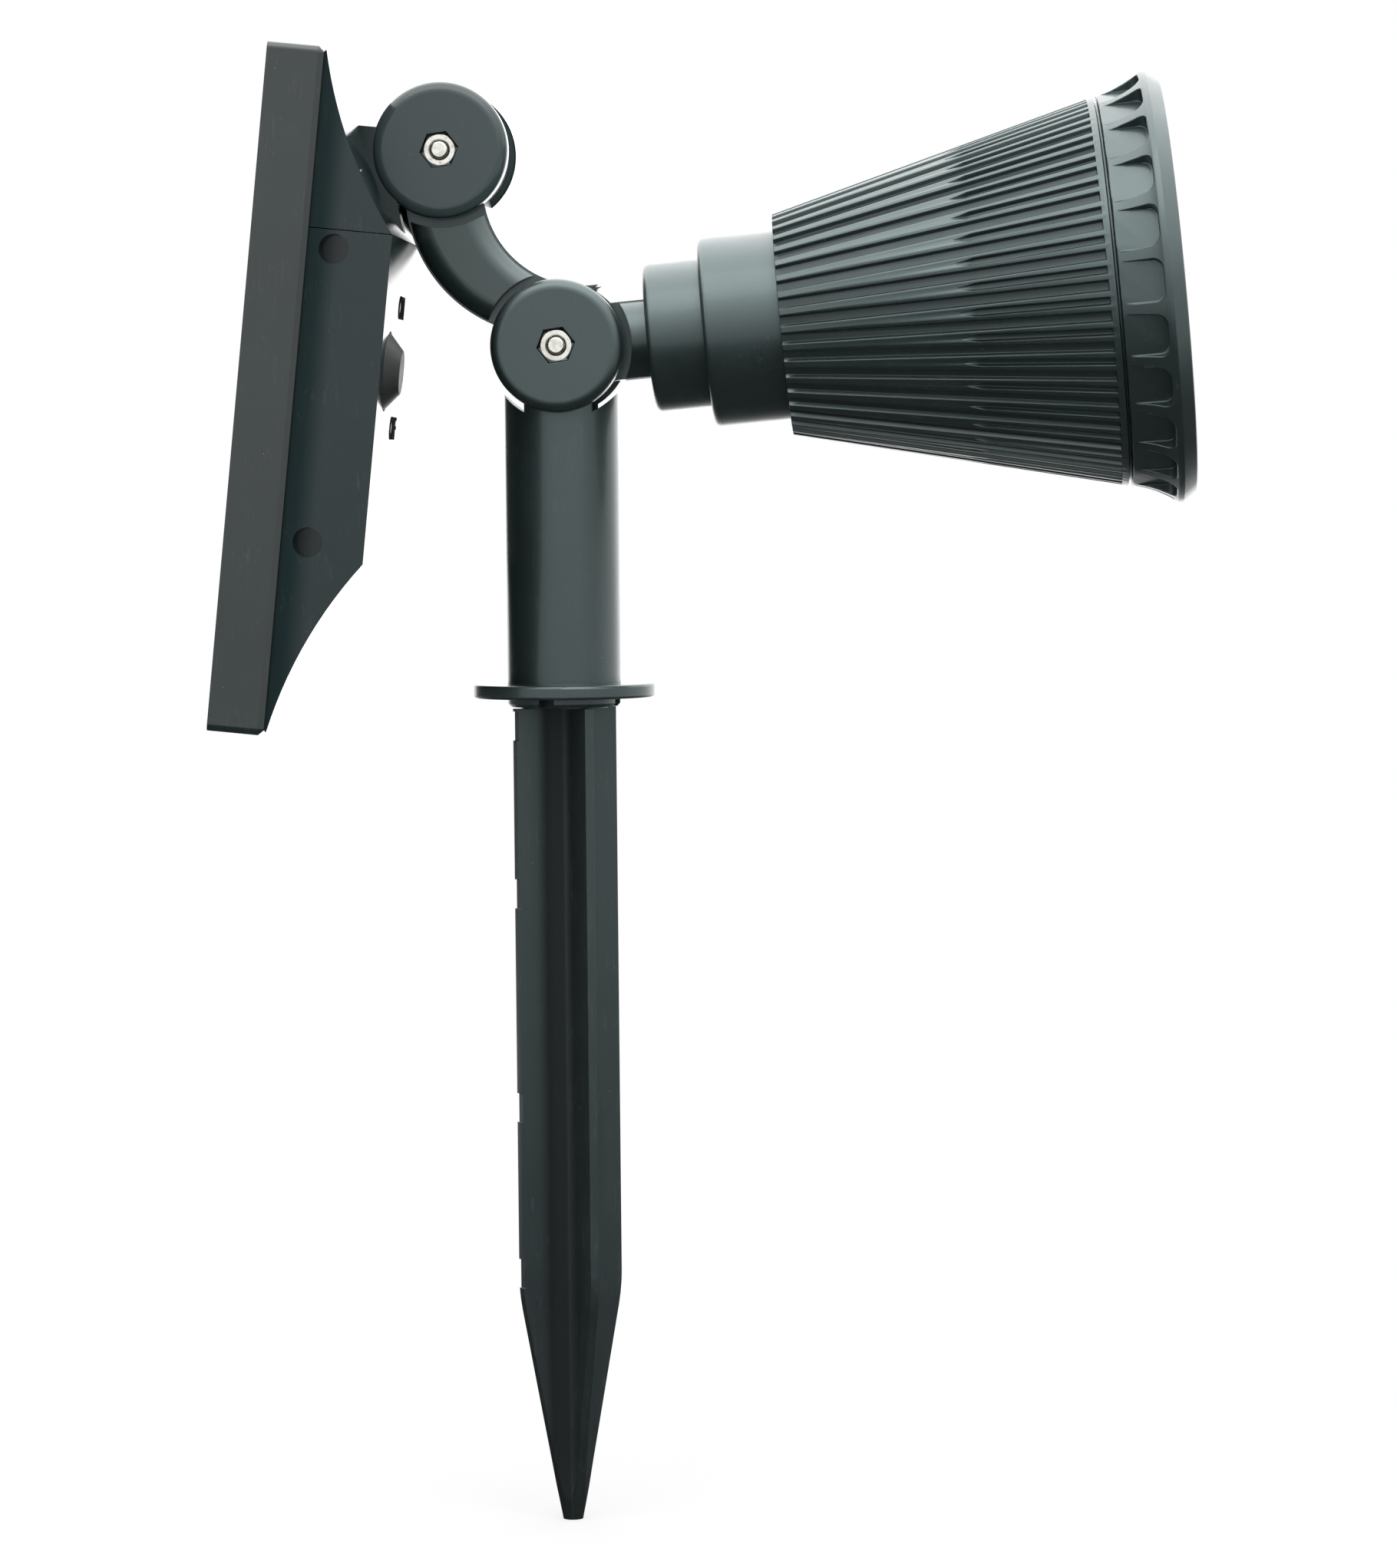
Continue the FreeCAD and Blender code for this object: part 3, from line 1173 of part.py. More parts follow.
def board_posts(body):
    """Four posts that carry the control board."""
    posts = new_sketch(body, "YZ_Plane", back(BOARD_BACK))
    upper = "(%s - control_above + board_post_inset)" % BUTTON_DOWN
    lower = "(%s + control_below - board_post_inset)" % BUTTON_DOWN
    inner = "-board_post_inset - control_inner"
    outer = "board_post_inset + control_inset - panel_width / 2"
    beside_button = "button_base_radius + button_rim + board_post_radius + 2 * play - " + BUTTON_ACROSS
    circle(posts, outer, down(upper), "board_post_radius")
    circle(posts, inner, down(upper), "board_post_radius")
    circle(posts, beside_button, down(lower), "board_post_radius")
    circle(posts, inner, down(lower), "board_post_radius")
    pad(body, posts, "panel_depth - housing_wall / 2 - %s" % BOARD_BACK)


def control_board():
    """Charge and switch board on its posts."""
    body = new_body("control_board")
    sketch = new_sketch(body, "YZ_Plane", back(BOARD_BACK))
    rectangle(sketch, "control_inset - panel_width / 2", "-control_inner",
              down("(%s + control_below)" % BUTTON_DOWN), down("(%s - control_above)" % BUTTON_DOWN))
    pad(body, sketch, "board_thickness", turned=True)
    in_panel_frame(body)


def switch_body():
    """Push switch on the board, under the button."""
    body = new_body("switch_body")
    half = "switch_size / 2"
    block = new_sketch(body, "YZ_Plane", back(BOARD_BACK), shift=("-" + BUTTON_ACROSS, down(BUTTON_DOWN)))
    rectangle(block, "-" + half, half, "-" + half, half)
    pad(body, block, "switch_height")
    plunger = new_sketch(body, "YZ_Plane", back("(%s + switch_height)" % BOARD_BACK),
                         shift=("-" + BUTTON_ACROSS, down(BUTTON_DOWN)))
    circle(plunger, "0", "0", "switch_plunger_radius")
    pad(body, plunger, "switch_plunger_height")
    in_panel_frame(body)


def switch_button():
    """Push button: a cone over a skirt and the rim that keeps it in."""
    body = new_body("switch_button")
    section = new_sketch(body, "XZ_Plane", BUTTON_ACROSS, shift=("0", down(BUTTON_DOWN)))
    rim_top = back("(panel_depth - housing_wall - play)")
    rim_low = back("(panel_depth - housing_wall - play - button_rim_thickness)")
    outline(section, [
        (rim_low, "0"),
        (rim_low, "button_base_radius + play + button_rim"),
        (rim_top, "button_base_radius + play + button_rim"),
        (rim_top, "button_base_radius"),
        (back("panel_depth"), "button_base_radius"),
        (back("(panel_depth + button_height)"), "button_tip_radius"),
        (back("(panel_depth + button_height)"), "0")])
    revolution(body, section)
    in_panel_frame(body)


CRADLE_HALF_LENGTH = "(cell_length / 2 + contact_gap + cradle_wall)"


def battery_cradle():
    """Cradle on the housing's back that holds the cell between two end walls."""
    body = new_body("battery_cradle")
    half = "(cell_radius + fit_gap + cradle_wall)"
    seat = new_sketch(body, "YZ_Plane", back("cell_back"), shift=("0", down(CELL_DOWN)))
    rectangle(seat, "-" + CRADLE_HALF_LENGTH, CRADLE_HALF_LENGTH, "-" + half, half)
    pad(body, seat, "panel_depth - housing_wall - cell_back")
    room = new_sketch(body, "XZ_Plane", shift=(back("cell_back"), down(CELL_DOWN)))
    circle(room, "0", "0", "cell_radius + fit_gap")
    pocket(body, room, "cell_length + 2 * contact_gap", both=True)
    in_panel_frame(body)


def battery_cell():
    """Rechargeable cell with its positive cap."""
    body = new_body("battery_cell")
    can = new_sketch(body, "XZ_Plane", shift=(back("cell_back"), down(CELL_DOWN)))
    circle(can, "0", "0", "cell_radius")
    pad(body, can, "cell_length", both=True)
    cap = new_sketch(body, "XZ_Plane", "cell_length / 2", shift=(back("cell_back"), down(CELL_DOWN)))
    circle(cap, "0", "0", "cell_cap_radius")
    pad(body, cap, "cell_cap_height")
    in_panel_frame(body)


def battery_contacts():
    """Sprung contact at each end of the cell: a plate on the end wall and a boss against the cell."""
    body = new_body("battery_contacts")
    body.AllowCompound = True
    end = "(cell_length / 2 + contact_gap)"
    middle = (back("cell_back"), down(CELL_DOWN))
    for side, turned, bump in (("", True, "cell_cap_height"), ("-", False, "0")):
        plate = new_sketch(body, "XZ_Plane", side + end, shift=middle)
        rectangle(plate, "0", "contact_reach", "-contact_reach", "contact_reach")
        pad(body, plate, "contact_thickness", turned=turned)
        boss = new_sketch(body, "XZ_Plane", side + end, shift=middle)
        circle(boss, "contact_reach / 2", "0", "cell_cap_radius / 2")
        pad(body, boss, "contact_gap - %s" % bump, turned=turned)
    in_panel_frame(body)


def housing_screws():
    """Screws through the frame's plate into the posts of both housings."""
    body = new_body("housing_screws")
    body.AllowCompound = True
    seat = back("(sheet_recess + screw_head_height)")
    for place in POSTS:
        for lift in (POST_ACROSS, "-" + POST_ACROSS):
            sketch = new_sketch(body, "XZ_Plane", lift, shift=("0", down(place)))
            screw_profile(sketch, seat, "0", "frame_screw_length", 1)
            revolution(body, sketch)
    in_panel_frame(body)


# ---------------------------------------------------------------- assembly

def check_document():
    """Stop if any object failed or any sub-part has no sound shape."""
    for item in DOC.Objects:
        if "Invalid" in item.State or "Error" in item.State:
            raise RuntimeError("%s failed: %s" % (item.Label, item.State))
    for item in SUB_PARTS:
        if item.Shape.isNull() or not item.Shape.isValid():
            raise RuntimeError("%s has no sound shape" % item.Label)


def export():
    """Write one STEP file for each sub-part."""
    os.makedirs("parts", exist_ok=True)
    for item in SUB_PARTS:
        item.Shape.exportStep("parts/%s.step" % item.Label)


def build():
    """Model every sub-part."""
    fill_sheet()
    ground_stake()
    column_tube()
    pivot_bolt("lower_pivot_bolt", on_low_bolt, "low_hex_turn")
    pivot_nut("lower_pivot_nut", on_low_bolt, "low_hex_turn")
    arm_half("arm_near_half", False)
    arm_half("arm_far_half", True)
    head_neck()
    ribbed_shell()
    bezel_ring()
    front_lens()
    lens_gasket()
    reflector_tray()
    light_board()
    light_emitters()
    screw_ring("shell_screws", "(cup_end + shell_floor)", "shell_screw_circle",
               "shell_screw_length", -1, "shell_screw_count")
    screw_ring("board_screws", "(%s - board_thickness)" % TRAY_BACK, "board_screw_circle",
               "board_screw_length", 1, "cup_count / 2")
    panel_frame()
    solar_sheet()
    panel_bracket()
    battery_housing()
    control_board()
    switch_body()
    switch_button()
    battery_cradle()
    battery_cell()
    battery_contacts()
    housing_screws()
    pivot_bolt("upper_pivot_bolt", in_panel_frame, "high_hex_turn")
    pivot_nut("upper_pivot_nut", in_panel_frame, "high_hex_turn")
    DOC.recompute()


build()
check_document()
export()
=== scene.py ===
import json
import math

import bpy
from mathutils import Matrix, Quaternion, Vector

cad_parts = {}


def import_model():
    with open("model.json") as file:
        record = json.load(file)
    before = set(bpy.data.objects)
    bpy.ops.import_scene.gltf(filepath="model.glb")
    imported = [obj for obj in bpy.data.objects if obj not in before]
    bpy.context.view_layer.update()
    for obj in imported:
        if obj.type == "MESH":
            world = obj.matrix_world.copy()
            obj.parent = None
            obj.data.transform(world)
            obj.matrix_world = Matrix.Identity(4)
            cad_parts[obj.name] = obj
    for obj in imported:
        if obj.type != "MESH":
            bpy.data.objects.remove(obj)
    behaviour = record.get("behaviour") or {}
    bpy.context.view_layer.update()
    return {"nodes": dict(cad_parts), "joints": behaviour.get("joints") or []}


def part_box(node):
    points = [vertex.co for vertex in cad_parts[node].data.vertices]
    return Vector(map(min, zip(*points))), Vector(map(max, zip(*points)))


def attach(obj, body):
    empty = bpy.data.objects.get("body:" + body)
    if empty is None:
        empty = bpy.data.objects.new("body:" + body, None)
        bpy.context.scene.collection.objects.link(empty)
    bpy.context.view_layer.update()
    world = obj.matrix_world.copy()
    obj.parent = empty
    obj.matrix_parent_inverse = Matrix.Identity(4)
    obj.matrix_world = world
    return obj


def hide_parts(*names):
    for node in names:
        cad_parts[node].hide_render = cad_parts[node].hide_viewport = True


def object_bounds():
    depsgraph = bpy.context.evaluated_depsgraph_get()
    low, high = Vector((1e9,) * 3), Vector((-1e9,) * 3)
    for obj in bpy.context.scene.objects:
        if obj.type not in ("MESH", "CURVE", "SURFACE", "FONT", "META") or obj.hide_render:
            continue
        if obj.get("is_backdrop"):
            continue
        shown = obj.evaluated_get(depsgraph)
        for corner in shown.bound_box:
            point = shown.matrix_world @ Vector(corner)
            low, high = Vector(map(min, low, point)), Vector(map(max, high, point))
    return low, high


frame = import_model()

MM = 0.001


# ---------------------------------------------------------------- shader maths

class Wire:
    """A shader socket that takes part in plain arithmetic."""

    def __init__(self, nodes, socket):
        self.nodes = nodes
        self.socket = socket

    def _maths(self, operation, *others):
        return self.nodes.add("ShaderNodeMath", {"operation": operation}, *others)["Value"]

    def __add__(self, other):
        return self._maths("ADD", self, other)

    def __radd__(self, other):
        return self._maths("ADD", other, self)

    def __sub__(self, other):
        return self._maths("SUBTRACT", self, other)

    def __rsub__(self, other):
        return self._maths("SUBTRACT", other, self)

    def __mul__(self, other):
        return self._maths("MULTIPLY", self, other)

    def __rmul__(self, other):
        return self._maths("MULTIPLY", other, self)

    def __truediv__(self, other):
        return self._maths("DIVIDE", self, other)

    def __pow__(self, other):
        return self._maths("POWER", self, other)

    def __gt__(self, other):
        return self._maths("GREATER_THAN", self, other)

    def most(self, other):
        return self._maths("MAXIMUM", self, other)

    def size(self):
        return self._maths("ABSOLUTE", self)

    def cycle(self, length):
        return self._maths("FLOORED_MODULO", self, length)

    def between(self, low, high):
        """Rises smoothly from 0 at low to 1 at high."""
        settings = {"interpolation_type": "SMOOTHSTEP"}
        return self.nodes.add("ShaderNodeMapRange", settings, Value=self,
                              **{"From Min": low, "From Max": high})["Result"]


class Outputs:
    """The outputs of one node, by name."""

    def __init__(self, nodes, node):
        self.nodes = nodes
        self.node = node

    def __getitem__(self, name):
        sockets = [socket for socket in self.node.outputs if socket.name == name and socket.enabled]
        return Wire(self.nodes, sockets[0])


class Nodes:
    """A node tree, and the one method that fills it."""

    def __init__(self, tree):
        self.tree = tree
        self.tree.nodes.clear()

    def add(self, kind, settings=None, *ordered, **named):
        """Add a node of a kind, with its settings, and values or wires for its inputs."""
        node = self.tree.nodes.new(kind)
        stops = (settings or {}).pop("stops", None)
        for name, setting in (settings or {}).items():
            setattr(node, name, setting)
        if stops:
            ramp = node.color_ramp
            while len(ramp.elements) < len(stops):
                ramp.elements.new(0.5)
            for element, (place, colour) in zip(ramp.elements, stops):
                element.position = place
                element.color = (*colour, 1.0)
        inputs = [socket for socket in node.inputs if socket.enabled]
        pairs = list(zip(inputs, ordered))
        for name, given in named.items():
            pairs.append((next(socket for socket in inputs if socket.name == name), given))
        for socket, given in pairs:
            if isinstance(given, Wire):
                self.tree.links.new(given.socket, socket)
            elif socket.type == "RGBA" and len(given) == 3:
                socket.default_value = (*given, 1.0)
            else:
                socket.default_value = given
        return Outputs(self, node)

    def mix(self, factor, first, second):
        """Blend two colours."""
        node = self.tree.nodes.new("ShaderNodeMix")
        node.data_type = "RGBA"
        for index, given in ((0, factor), (6, first), (7, second)):
            if isinstance(given, Wire):
                self.tree.links.new(given.socket, node.inputs[index])
            elif index and len(given) == 3:
                node.inputs[index].default_value = (*given, 1.0)
            else:
                node.inputs[index].default_value = given
        return Wire(self, node.outputs[2])

    def place(self):
        """Object coordinates."""
        return self.add("ShaderNodeTexCoord")["Object"]

    def moved(self, place, shift=(0, 0, 0), turn=(0, 0, 0), scale=(1, 1, 1)):
        """Coordinates shifted, turned and scaled."""
        return self.add("ShaderNodeMapping", None, Vector=place, Location=shift, Rotation=turn,
                        Scale=scale)["Vector"]

    def noise(self, place, size, detail=2.0, rough=0.5):
        """Cloudy noise with lumps of a size in metres, about 0.5."""
        return self.add("ShaderNodeTexNoise", None, Vector=place, Scale=1 / size, Detail=detail,
                        Roughness=rough)["Fac"]

    def specks(self, place, spacing, radius, share):
        """Dots of a radius in metres, one in each cell of a spacing for a share of the cells."""
        cell = self.add("ShaderNodeTexVoronoi", {"feature": "F1"}, Vector=place, Scale=1 / spacing)
        chosen = self.add("ShaderNodeSeparateColor", None, cell["Color"])["Red"]
        return (1 - cell["Distance"].between(0.5 * radius / spacing, radius / spacing)) * (chosen > 1 - share)

    def scratches(self, place, turn, spacing, share):
        """Short hairline scratches that run one way."""
        turned = self.moved(place, turn=turn, scale=(1, 1, 0.08))
        line = self.noise(turned, spacing, 1.0)
        hair = 1 - (line - 0.5).size().between(0.0, 0.012)
        patch = self.noise(self.moved(place, shift=(0.7, 0.2, 0.4)), 7 * MM, 1.0)
        return hair * patch.between(0.62 - share, 0.72 - share)

    def softened(self, radius):
        """The normal, turned near sharp edges as if they were rounded."""
        return self.add("ShaderNodeBevel", {"samples": 4}, Radius=radius)["Normal"]

    def edges(self, radius):
        """1 on sharp edges, 0 on flats."""
        true = self.add("ShaderNodeNewGeometry")["True Normal"]
        soft = self.softened(radius)
        facing = self.add("ShaderNodeVectorMath", {"operation": "DOT_PRODUCT"}, soft, true)["Value"]
        return (1 - facing).between(0.02, 0.30)

    def bump(self, height, distance, strength=1.0, normal=None):
        """A bumped normal from a height."""
        named = {"Height": height, "Distance": distance, "Strength": strength}
        if normal:
            named["Normal"] = normal
        return self.add("ShaderNodeBump", None, **named)["Normal"]


def new_material(name):
    """An empty material and its nodes."""
    material = bpy.data.materials.new(name)
    material.use_nodes = True
    return material, Nodes(material.node_tree)


def finish_material(nodes, fixed=None, shade_share=None, **varying):
    """Close a material with a Principled shader: varying sockets take wires, fixed ones numbers.

    shade_share gives how much of a darker, rougher black shader shows instead, as painted shade.
    """
    surface = nodes.add("ShaderNodeBsdfPrincipled", None, **{**(fixed or {}), **varying})["BSDF"]
    if shade_share:
        black = nodes.add("ShaderNodeBsdfPrincipled", None, IOR=1.2, Roughness=0.6,
                          **{"Base Color": PAINTED_SHADE_BLACK})["BSDF"]
        surface = nodes.add("ShaderNodeMixShader", None, shade_share, surface, black)["Shader"]
    nodes.add("ShaderNodeOutputMaterial", None, Surface=surface)


# ---------------------------------------------------------------- finishes

BLACK = (0.0110, 0.0165, 0.0170)
# Painted shade: the darker, rougher black that is mixed into the shell's grooves and the stake's valley.
PAINTED_SHADE_BLACK = (0.0100, 0.0122, 0.0122)
# A darker copy of BLACK for the housings and bracket: painted shade for their sides, set back behind the
# panel frame's edge.
SHADED_HOUSING_BLACK = (0.0045, 0.0150, 0.0160)
# A paler plastic tone: the stake's mould line, and painted light on the upper knuckle's ears.
PALE_SEAM_AND_LIT_TONE = (0.036, 0.054, 0.056)
DUST = (0.16, 0.17, 0.17)
WORN = (0.055, 0.062, 0.062)
# A cool tint on every reflection: the cool cast of the light, painted into the plastics.
LIGHT_CAST_TINT = (0.78, 1.0, 1.0)


def black_plastic(name, gloss, grain, dust=0.22, hairlines=0.10, edge=0.25 * MM, tint=BLACK, skin=0.0,
                  density=1.78, pale=None, clear=None, hollow=None):
    """Black moulded plastic: mould grain, cloudy sheen, dust specks, hairlines and rubbed edges.

    pale gives where it is paler: along a mould line, and as painted light on lit faces. clear gives where its
    glossy skin is at full strength, less where shade is painted, and hollow gives where it lies in a recess,
    where painted shade is mixed in.
    """
    material, nodes = new_material(name)
    place = nodes.place()
    cloud = nodes.noise(place, 22 * MM, 3.0)
    smear = nodes.noise(nodes.moved(place, scale=(1, 1, 0.35)), 6 * MM, 2.0)
    fine = nodes.noise(place, 0.28 * MM, 2.0, 0.6)
    flecks = nodes.specks(place, 3.1 * MM, 0.16 * MM, dust)
    motes = nodes.specks(nodes.moved(place, shift=(0.3, 0.1, 0.6)), 1.3 * MM, 0.075 * MM, 0.6 * dust)
    dirt = flecks.most(motes * 0.6)
    rubs = nodes.scratches(place, (0.5, 0.9, 0.2), 1.1 * MM, hairlines)
    rubs = rubs.most(nodes.scratches(place, (1.4, 0.2, 0.7), 1.4 * MM, hairlines))
    worn = nodes.edges(edge) * nodes.noise(place, 2.5 * MM, 3.0).between(0.42, 0.66)
    shade = nodes.mix(cloud, [0.82 * part for part in tint], [1.18 * part for part in tint])
    if pale:
        shade = nodes.mix(pale(nodes), shade, PALE_SEAM_AND_LIT_TONE)
    shade = nodes.mix(worn * 0.45, shade, WORN)
    shade = nodes.mix(rubs * 0.30, shade, WORN)
    shade = nodes.mix(dirt * 0.75, shade, DUST)
    rough = gloss + (cloud - 0.5) * 0.10 + (smear - 0.5) * 0.12 + dirt * 0.35 - worn * 0.08 + rubs * 0.05
    normal = nodes.softened(edge)
    normal = nodes.bump(fine, grain, 0.35, normal)
    normal = nodes.bump(rubs * -1.0 + dirt, 0.012 * MM, 0.6, normal)
    fixed = {"IOR": density, "Specular Tint": LIGHT_CAST_TINT, "Coat Roughness": 0.12}
    varied = {"Base Color": shade, "Roughness": rough, "Normal": normal}
    if clear:
        varied["Coat Weight"] = clear(nodes) * skin
    else:
        fixed["Coat Weight"] = skin
    finish_material(nodes, fixed, hollow(nodes) if hollow else None, **varied)
    return material


def mark_ink():
    """Flat black print."""
    material, nodes = new_material("mark ink")
    place = nodes.place()
    shade = nodes.mix(nodes.noise(place, 0.8 * MM, 3.0), (0.008, 0.009, 0.009), (0.020, 0.021, 0.021))
    rough = 0.82 + nodes.noise(place, 0.3 * MM, 2.0) * 0.14
    normal = nodes.bump(nodes.noise(place, 0.1 * MM, 2.0), 0.01 * MM, 0.3)
    finish_material(nodes, {"IOR": 1.04}, **{"Base Color": shade, "Roughness": rough, "Normal": normal})
    return material


def zinc_steel():
    """Bright zinc plated steel with a fine turned grain and darker grimy patches."""
    material, nodes = new_material("zinc plated steel")
    place = nodes.place()
    turned = nodes.noise(nodes.moved(place, scale=(1, 0.12, 1)), 0.22 * MM, 3.0, 0.6)
    cloud = nodes.noise(place, 1.6 * MM, 3.0)
    grime = nodes.noise(place, 0.8 * MM, 2.0).between(0.58, 0.74)
    shade = nodes.mix(cloud.between(0.35, 0.68), (0.74, 0.74, 0.70), (0.60, 0.575, 0.52))
    shade = nodes.mix(grime * 0.35, shade, (0.28, 0.25, 0.20))
    rough = 0.24 + (turned - 0.5) * 0.16 + grime * 0.20
    normal = nodes.softened(0.18 * MM)
    normal = nodes.bump(turned, 0.01 * MM, 0.5, normal)
    finish_material(nodes, {"Metallic": 1.0}, **{"Base Color": shade, "Roughness": rough, "Normal": normal})
    return material


def black_rubber():
    """Matte black rubber with a dusty bloom."""
    material, nodes = new_material("black rubber")
    place = nodes.place()
    bloom = nodes.noise(place, 3 * MM, 3.0)
    fine = nodes.noise(place, 0.2 * MM, 2.0)
    rubs = nodes.scratches(place, (0.2, 0.3, 1.0), 0.7 * MM, 0.22)
    shade = nodes.mix(bloom, (0.011, 0.012, 0.012), (0.019, 0.021, 0.021))
    shade = nodes.mix(rubs * 0.5, shade, WORN)
    rough = 0.46 + (bloom - 0.5) * 0.2 + rubs * 0.1
    normal = nodes.softened(0.3 * MM)
    normal = nodes.bump(fine, 0.02 * MM, 0.4, normal)
    finish_material(nodes, {"IOR": 1.5}, **{"Base Color": shade, "Roughness": rough, "Normal": normal})
    return material


def lens_clear():
    """Clear lens plastic with a faint haze of dust."""
    material, nodes = new_material("clear lens plastic")
    place = nodes.place()
    haze = nodes.noise(place, 9 * MM, 3.0)
    motes = nodes.specks(place, 2.6 * MM, 0.12 * MM, 0.3)
    rough = 0.03 + haze * 0.05 + motes * 0.4
    shade = nodes.mix(motes * 0.4, (0.96, 0.98, 1.0), (0.75, 0.76, 0.76))
    finish_material(nodes, {"IOR": 1.49, "Transmission Weight": 1.0},
                    **{"Base Color": shade, "Roughness": rough})
    return material


def bright_reflector():
    """Metallised plastic of the reflector cups."""
    material, nodes = new_material("metallised reflector")
    place = nodes.place()
    cloud = nodes.noise(place, 5 * MM, 3.0)
    peel = nodes.noise(place, 1.2 * MM, 2.0)
    shade = nodes.mix(cloud, (0.84, 0.86, 0.88), (0.90, 0.91, 0.92))
    rough = 0.10 + cloud * 0.08
    normal = nodes.bump(peel, 0.03 * MM, 0.35)
    finish_material(nodes, {"Metallic": 1.0}, **{"Base Color": shade, "Roughness": rough, "Normal": normal})
    return material


def circuit_board():
    """Green solder mask over faint copper tracks."""
    material, nodes = new_material("green solder mask")
    place = nodes.place()
    tracks = nodes.add("ShaderNodeTexBrick", None, Vector=nodes.moved(place, scale=(300, 300, 300)))["Fac"]
    cloud = nodes.noise(place, 4 * MM, 2.0)
    shade = nodes.mix(cloud, (0.012, 0.085, 0.035), (0.018, 0.12, 0.05))
    shade = nodes.mix(tracks * 0.5, shade, (0.04, 0.19, 0.09))
    rough = 0.32 + cloud * 0.12
    normal = nodes.bump(tracks, 0.03 * MM, 0.6)
    finish_material(nodes, None, **{"Base Color": shade, "Roughness": rough, "Normal": normal})
    return material


def phosphor():
    """Yellow phosphor of the emitters."""
    material, nodes = new_material("emitter phosphor")
    place = nodes.place()
    grains = nodes.noise(place, 0.3 * MM, 2.0)
    shade = nodes.mix(grains, (0.80, 0.62, 0.10), (0.90, 0.76, 0.22))
    normal = nodes.bump(grains, 0.02 * MM, 0.5)
    finish_material(nodes, {"Roughness": 0.5}, **{"Base Color": shade, "Normal": normal})
    return material


def cell_sleeve():
    """Blue shrink sleeve of the rechargeable cell."""
    material, nodes = new_material("blue cell sleeve")
    place = nodes.place()
    ripple = nodes.noise(nodes.moved(place, scale=(1, 0.2, 1)), 1.5 * MM, 2.0)
    shade = nodes.mix(ripple, (0.02, 0.10, 0.30), (0.03, 0.14, 0.40))
    rough = 0.25 + ripple * 0.15
    normal = nodes.bump(ripple, 0.05 * MM, 0.4)
    finish_material(nodes, None, **{"Base Color": shade, "Roughness": rough, "Normal": normal})
    return material


def seal_rubber():
    """Dark sealing rubber."""
    material, nodes = new_material("seal rubber")
    fine = nodes.noise(nodes.place(), 0.5 * MM, 3.0)
    shade = nodes.mix(fine, (0.02, 0.02, 0.02), (0.035, 0.035, 0.035))
    normal = nodes.bump(fine, 0.03 * MM, 0.5)
    finish_material(nodes, {"Roughness": 0.7}, **{"Base Color": shade, "Normal": normal})
    return material


# ---------------------------------------------------------------- place of the moving frames

def joint(name):
    """A joint of the record, by name."""
    return next(item for item in frame["joints"] if item["name"] == name)


HIGH_PIVOT = Vector(joint("panel_tilt")["pos_m"])
LOW_PIVOT = Vector(joint("head_tilt")["pos_m"])
PANEL_BACK = -Vector(joint("switch_press")["axis"])
PANEL_UP = PANEL_BACK.cross(Vector((0, 1, 0)))
EAR_RADIUS = 14.8 * MM
ROOT_BEHIND = 22.5 * MM

HEAD_RISE = math.radians(5.1)
LAMP_AXIS = Vector((math.cos(HEAD_RISE), 0, math.sin(HEAD_RISE)))
LAMP_UP = Vector((-math.sin(HEAD_RISE), 0, math.cos(HEAD_RISE)))
SHELL_START, SHELL_END = 49.3 * MM, 121.4 * MM
SMALL_RADIUS, LARGE_RADIUS = 24.3 * MM, 42.65 * MM
CONE = math.atan((LARGE_RADIUS - SMALL_RADIUS) / (SHELL_END - SHELL_START))


def on_panel(nodes):
    """Place in the leaning panel's own frame: X out of its back, Z up, from the upper pivot."""
    lean = math.atan2(-PANEL_BACK.z, PANEL_BACK.x)
    flat = nodes.moved(nodes.moved(nodes.place(), shift=-HIGH_PIVOT), turn=(0, -lean, 0))
    return flat, nodes.add("ShaderNodeSeparateXYZ", None, flat)


def lit_ear_discs(nodes):
    """The round ears of the upper knuckle: painted light, paler than the rest of the bracket."""
    split = on_panel(nodes)[1]
    return 1 - ((split["X"] ** 2 + split["Z"] ** 2) ** 0.5).between(EAR_RADIUS - 0.6 * MM, EAR_RADIUS)


def skin_kept_under_painted_shade(nodes):
    """How much of the glossy skin the housings keep: less on their sides near the panel frame, as painted
    shade beside it.
    """
    facing = nodes.add("ShaderNodeSeparateXYZ", None, nodes.add("ShaderNodeTexCoord")["Normal"])
    side = facing["Y"].size().between(0.6, 0.85)
    near = 1 - (on_panel(nodes)[1]["X"] + ROOT_BEHIND).between(2.2 * MM, 7.8 * MM)
    return 1 - side * near * 0.75


CELL_TALL = 21.5 * MM
CELL_MARGINS = 6 * MM
FINGER_SPACING = 1.6 * MM


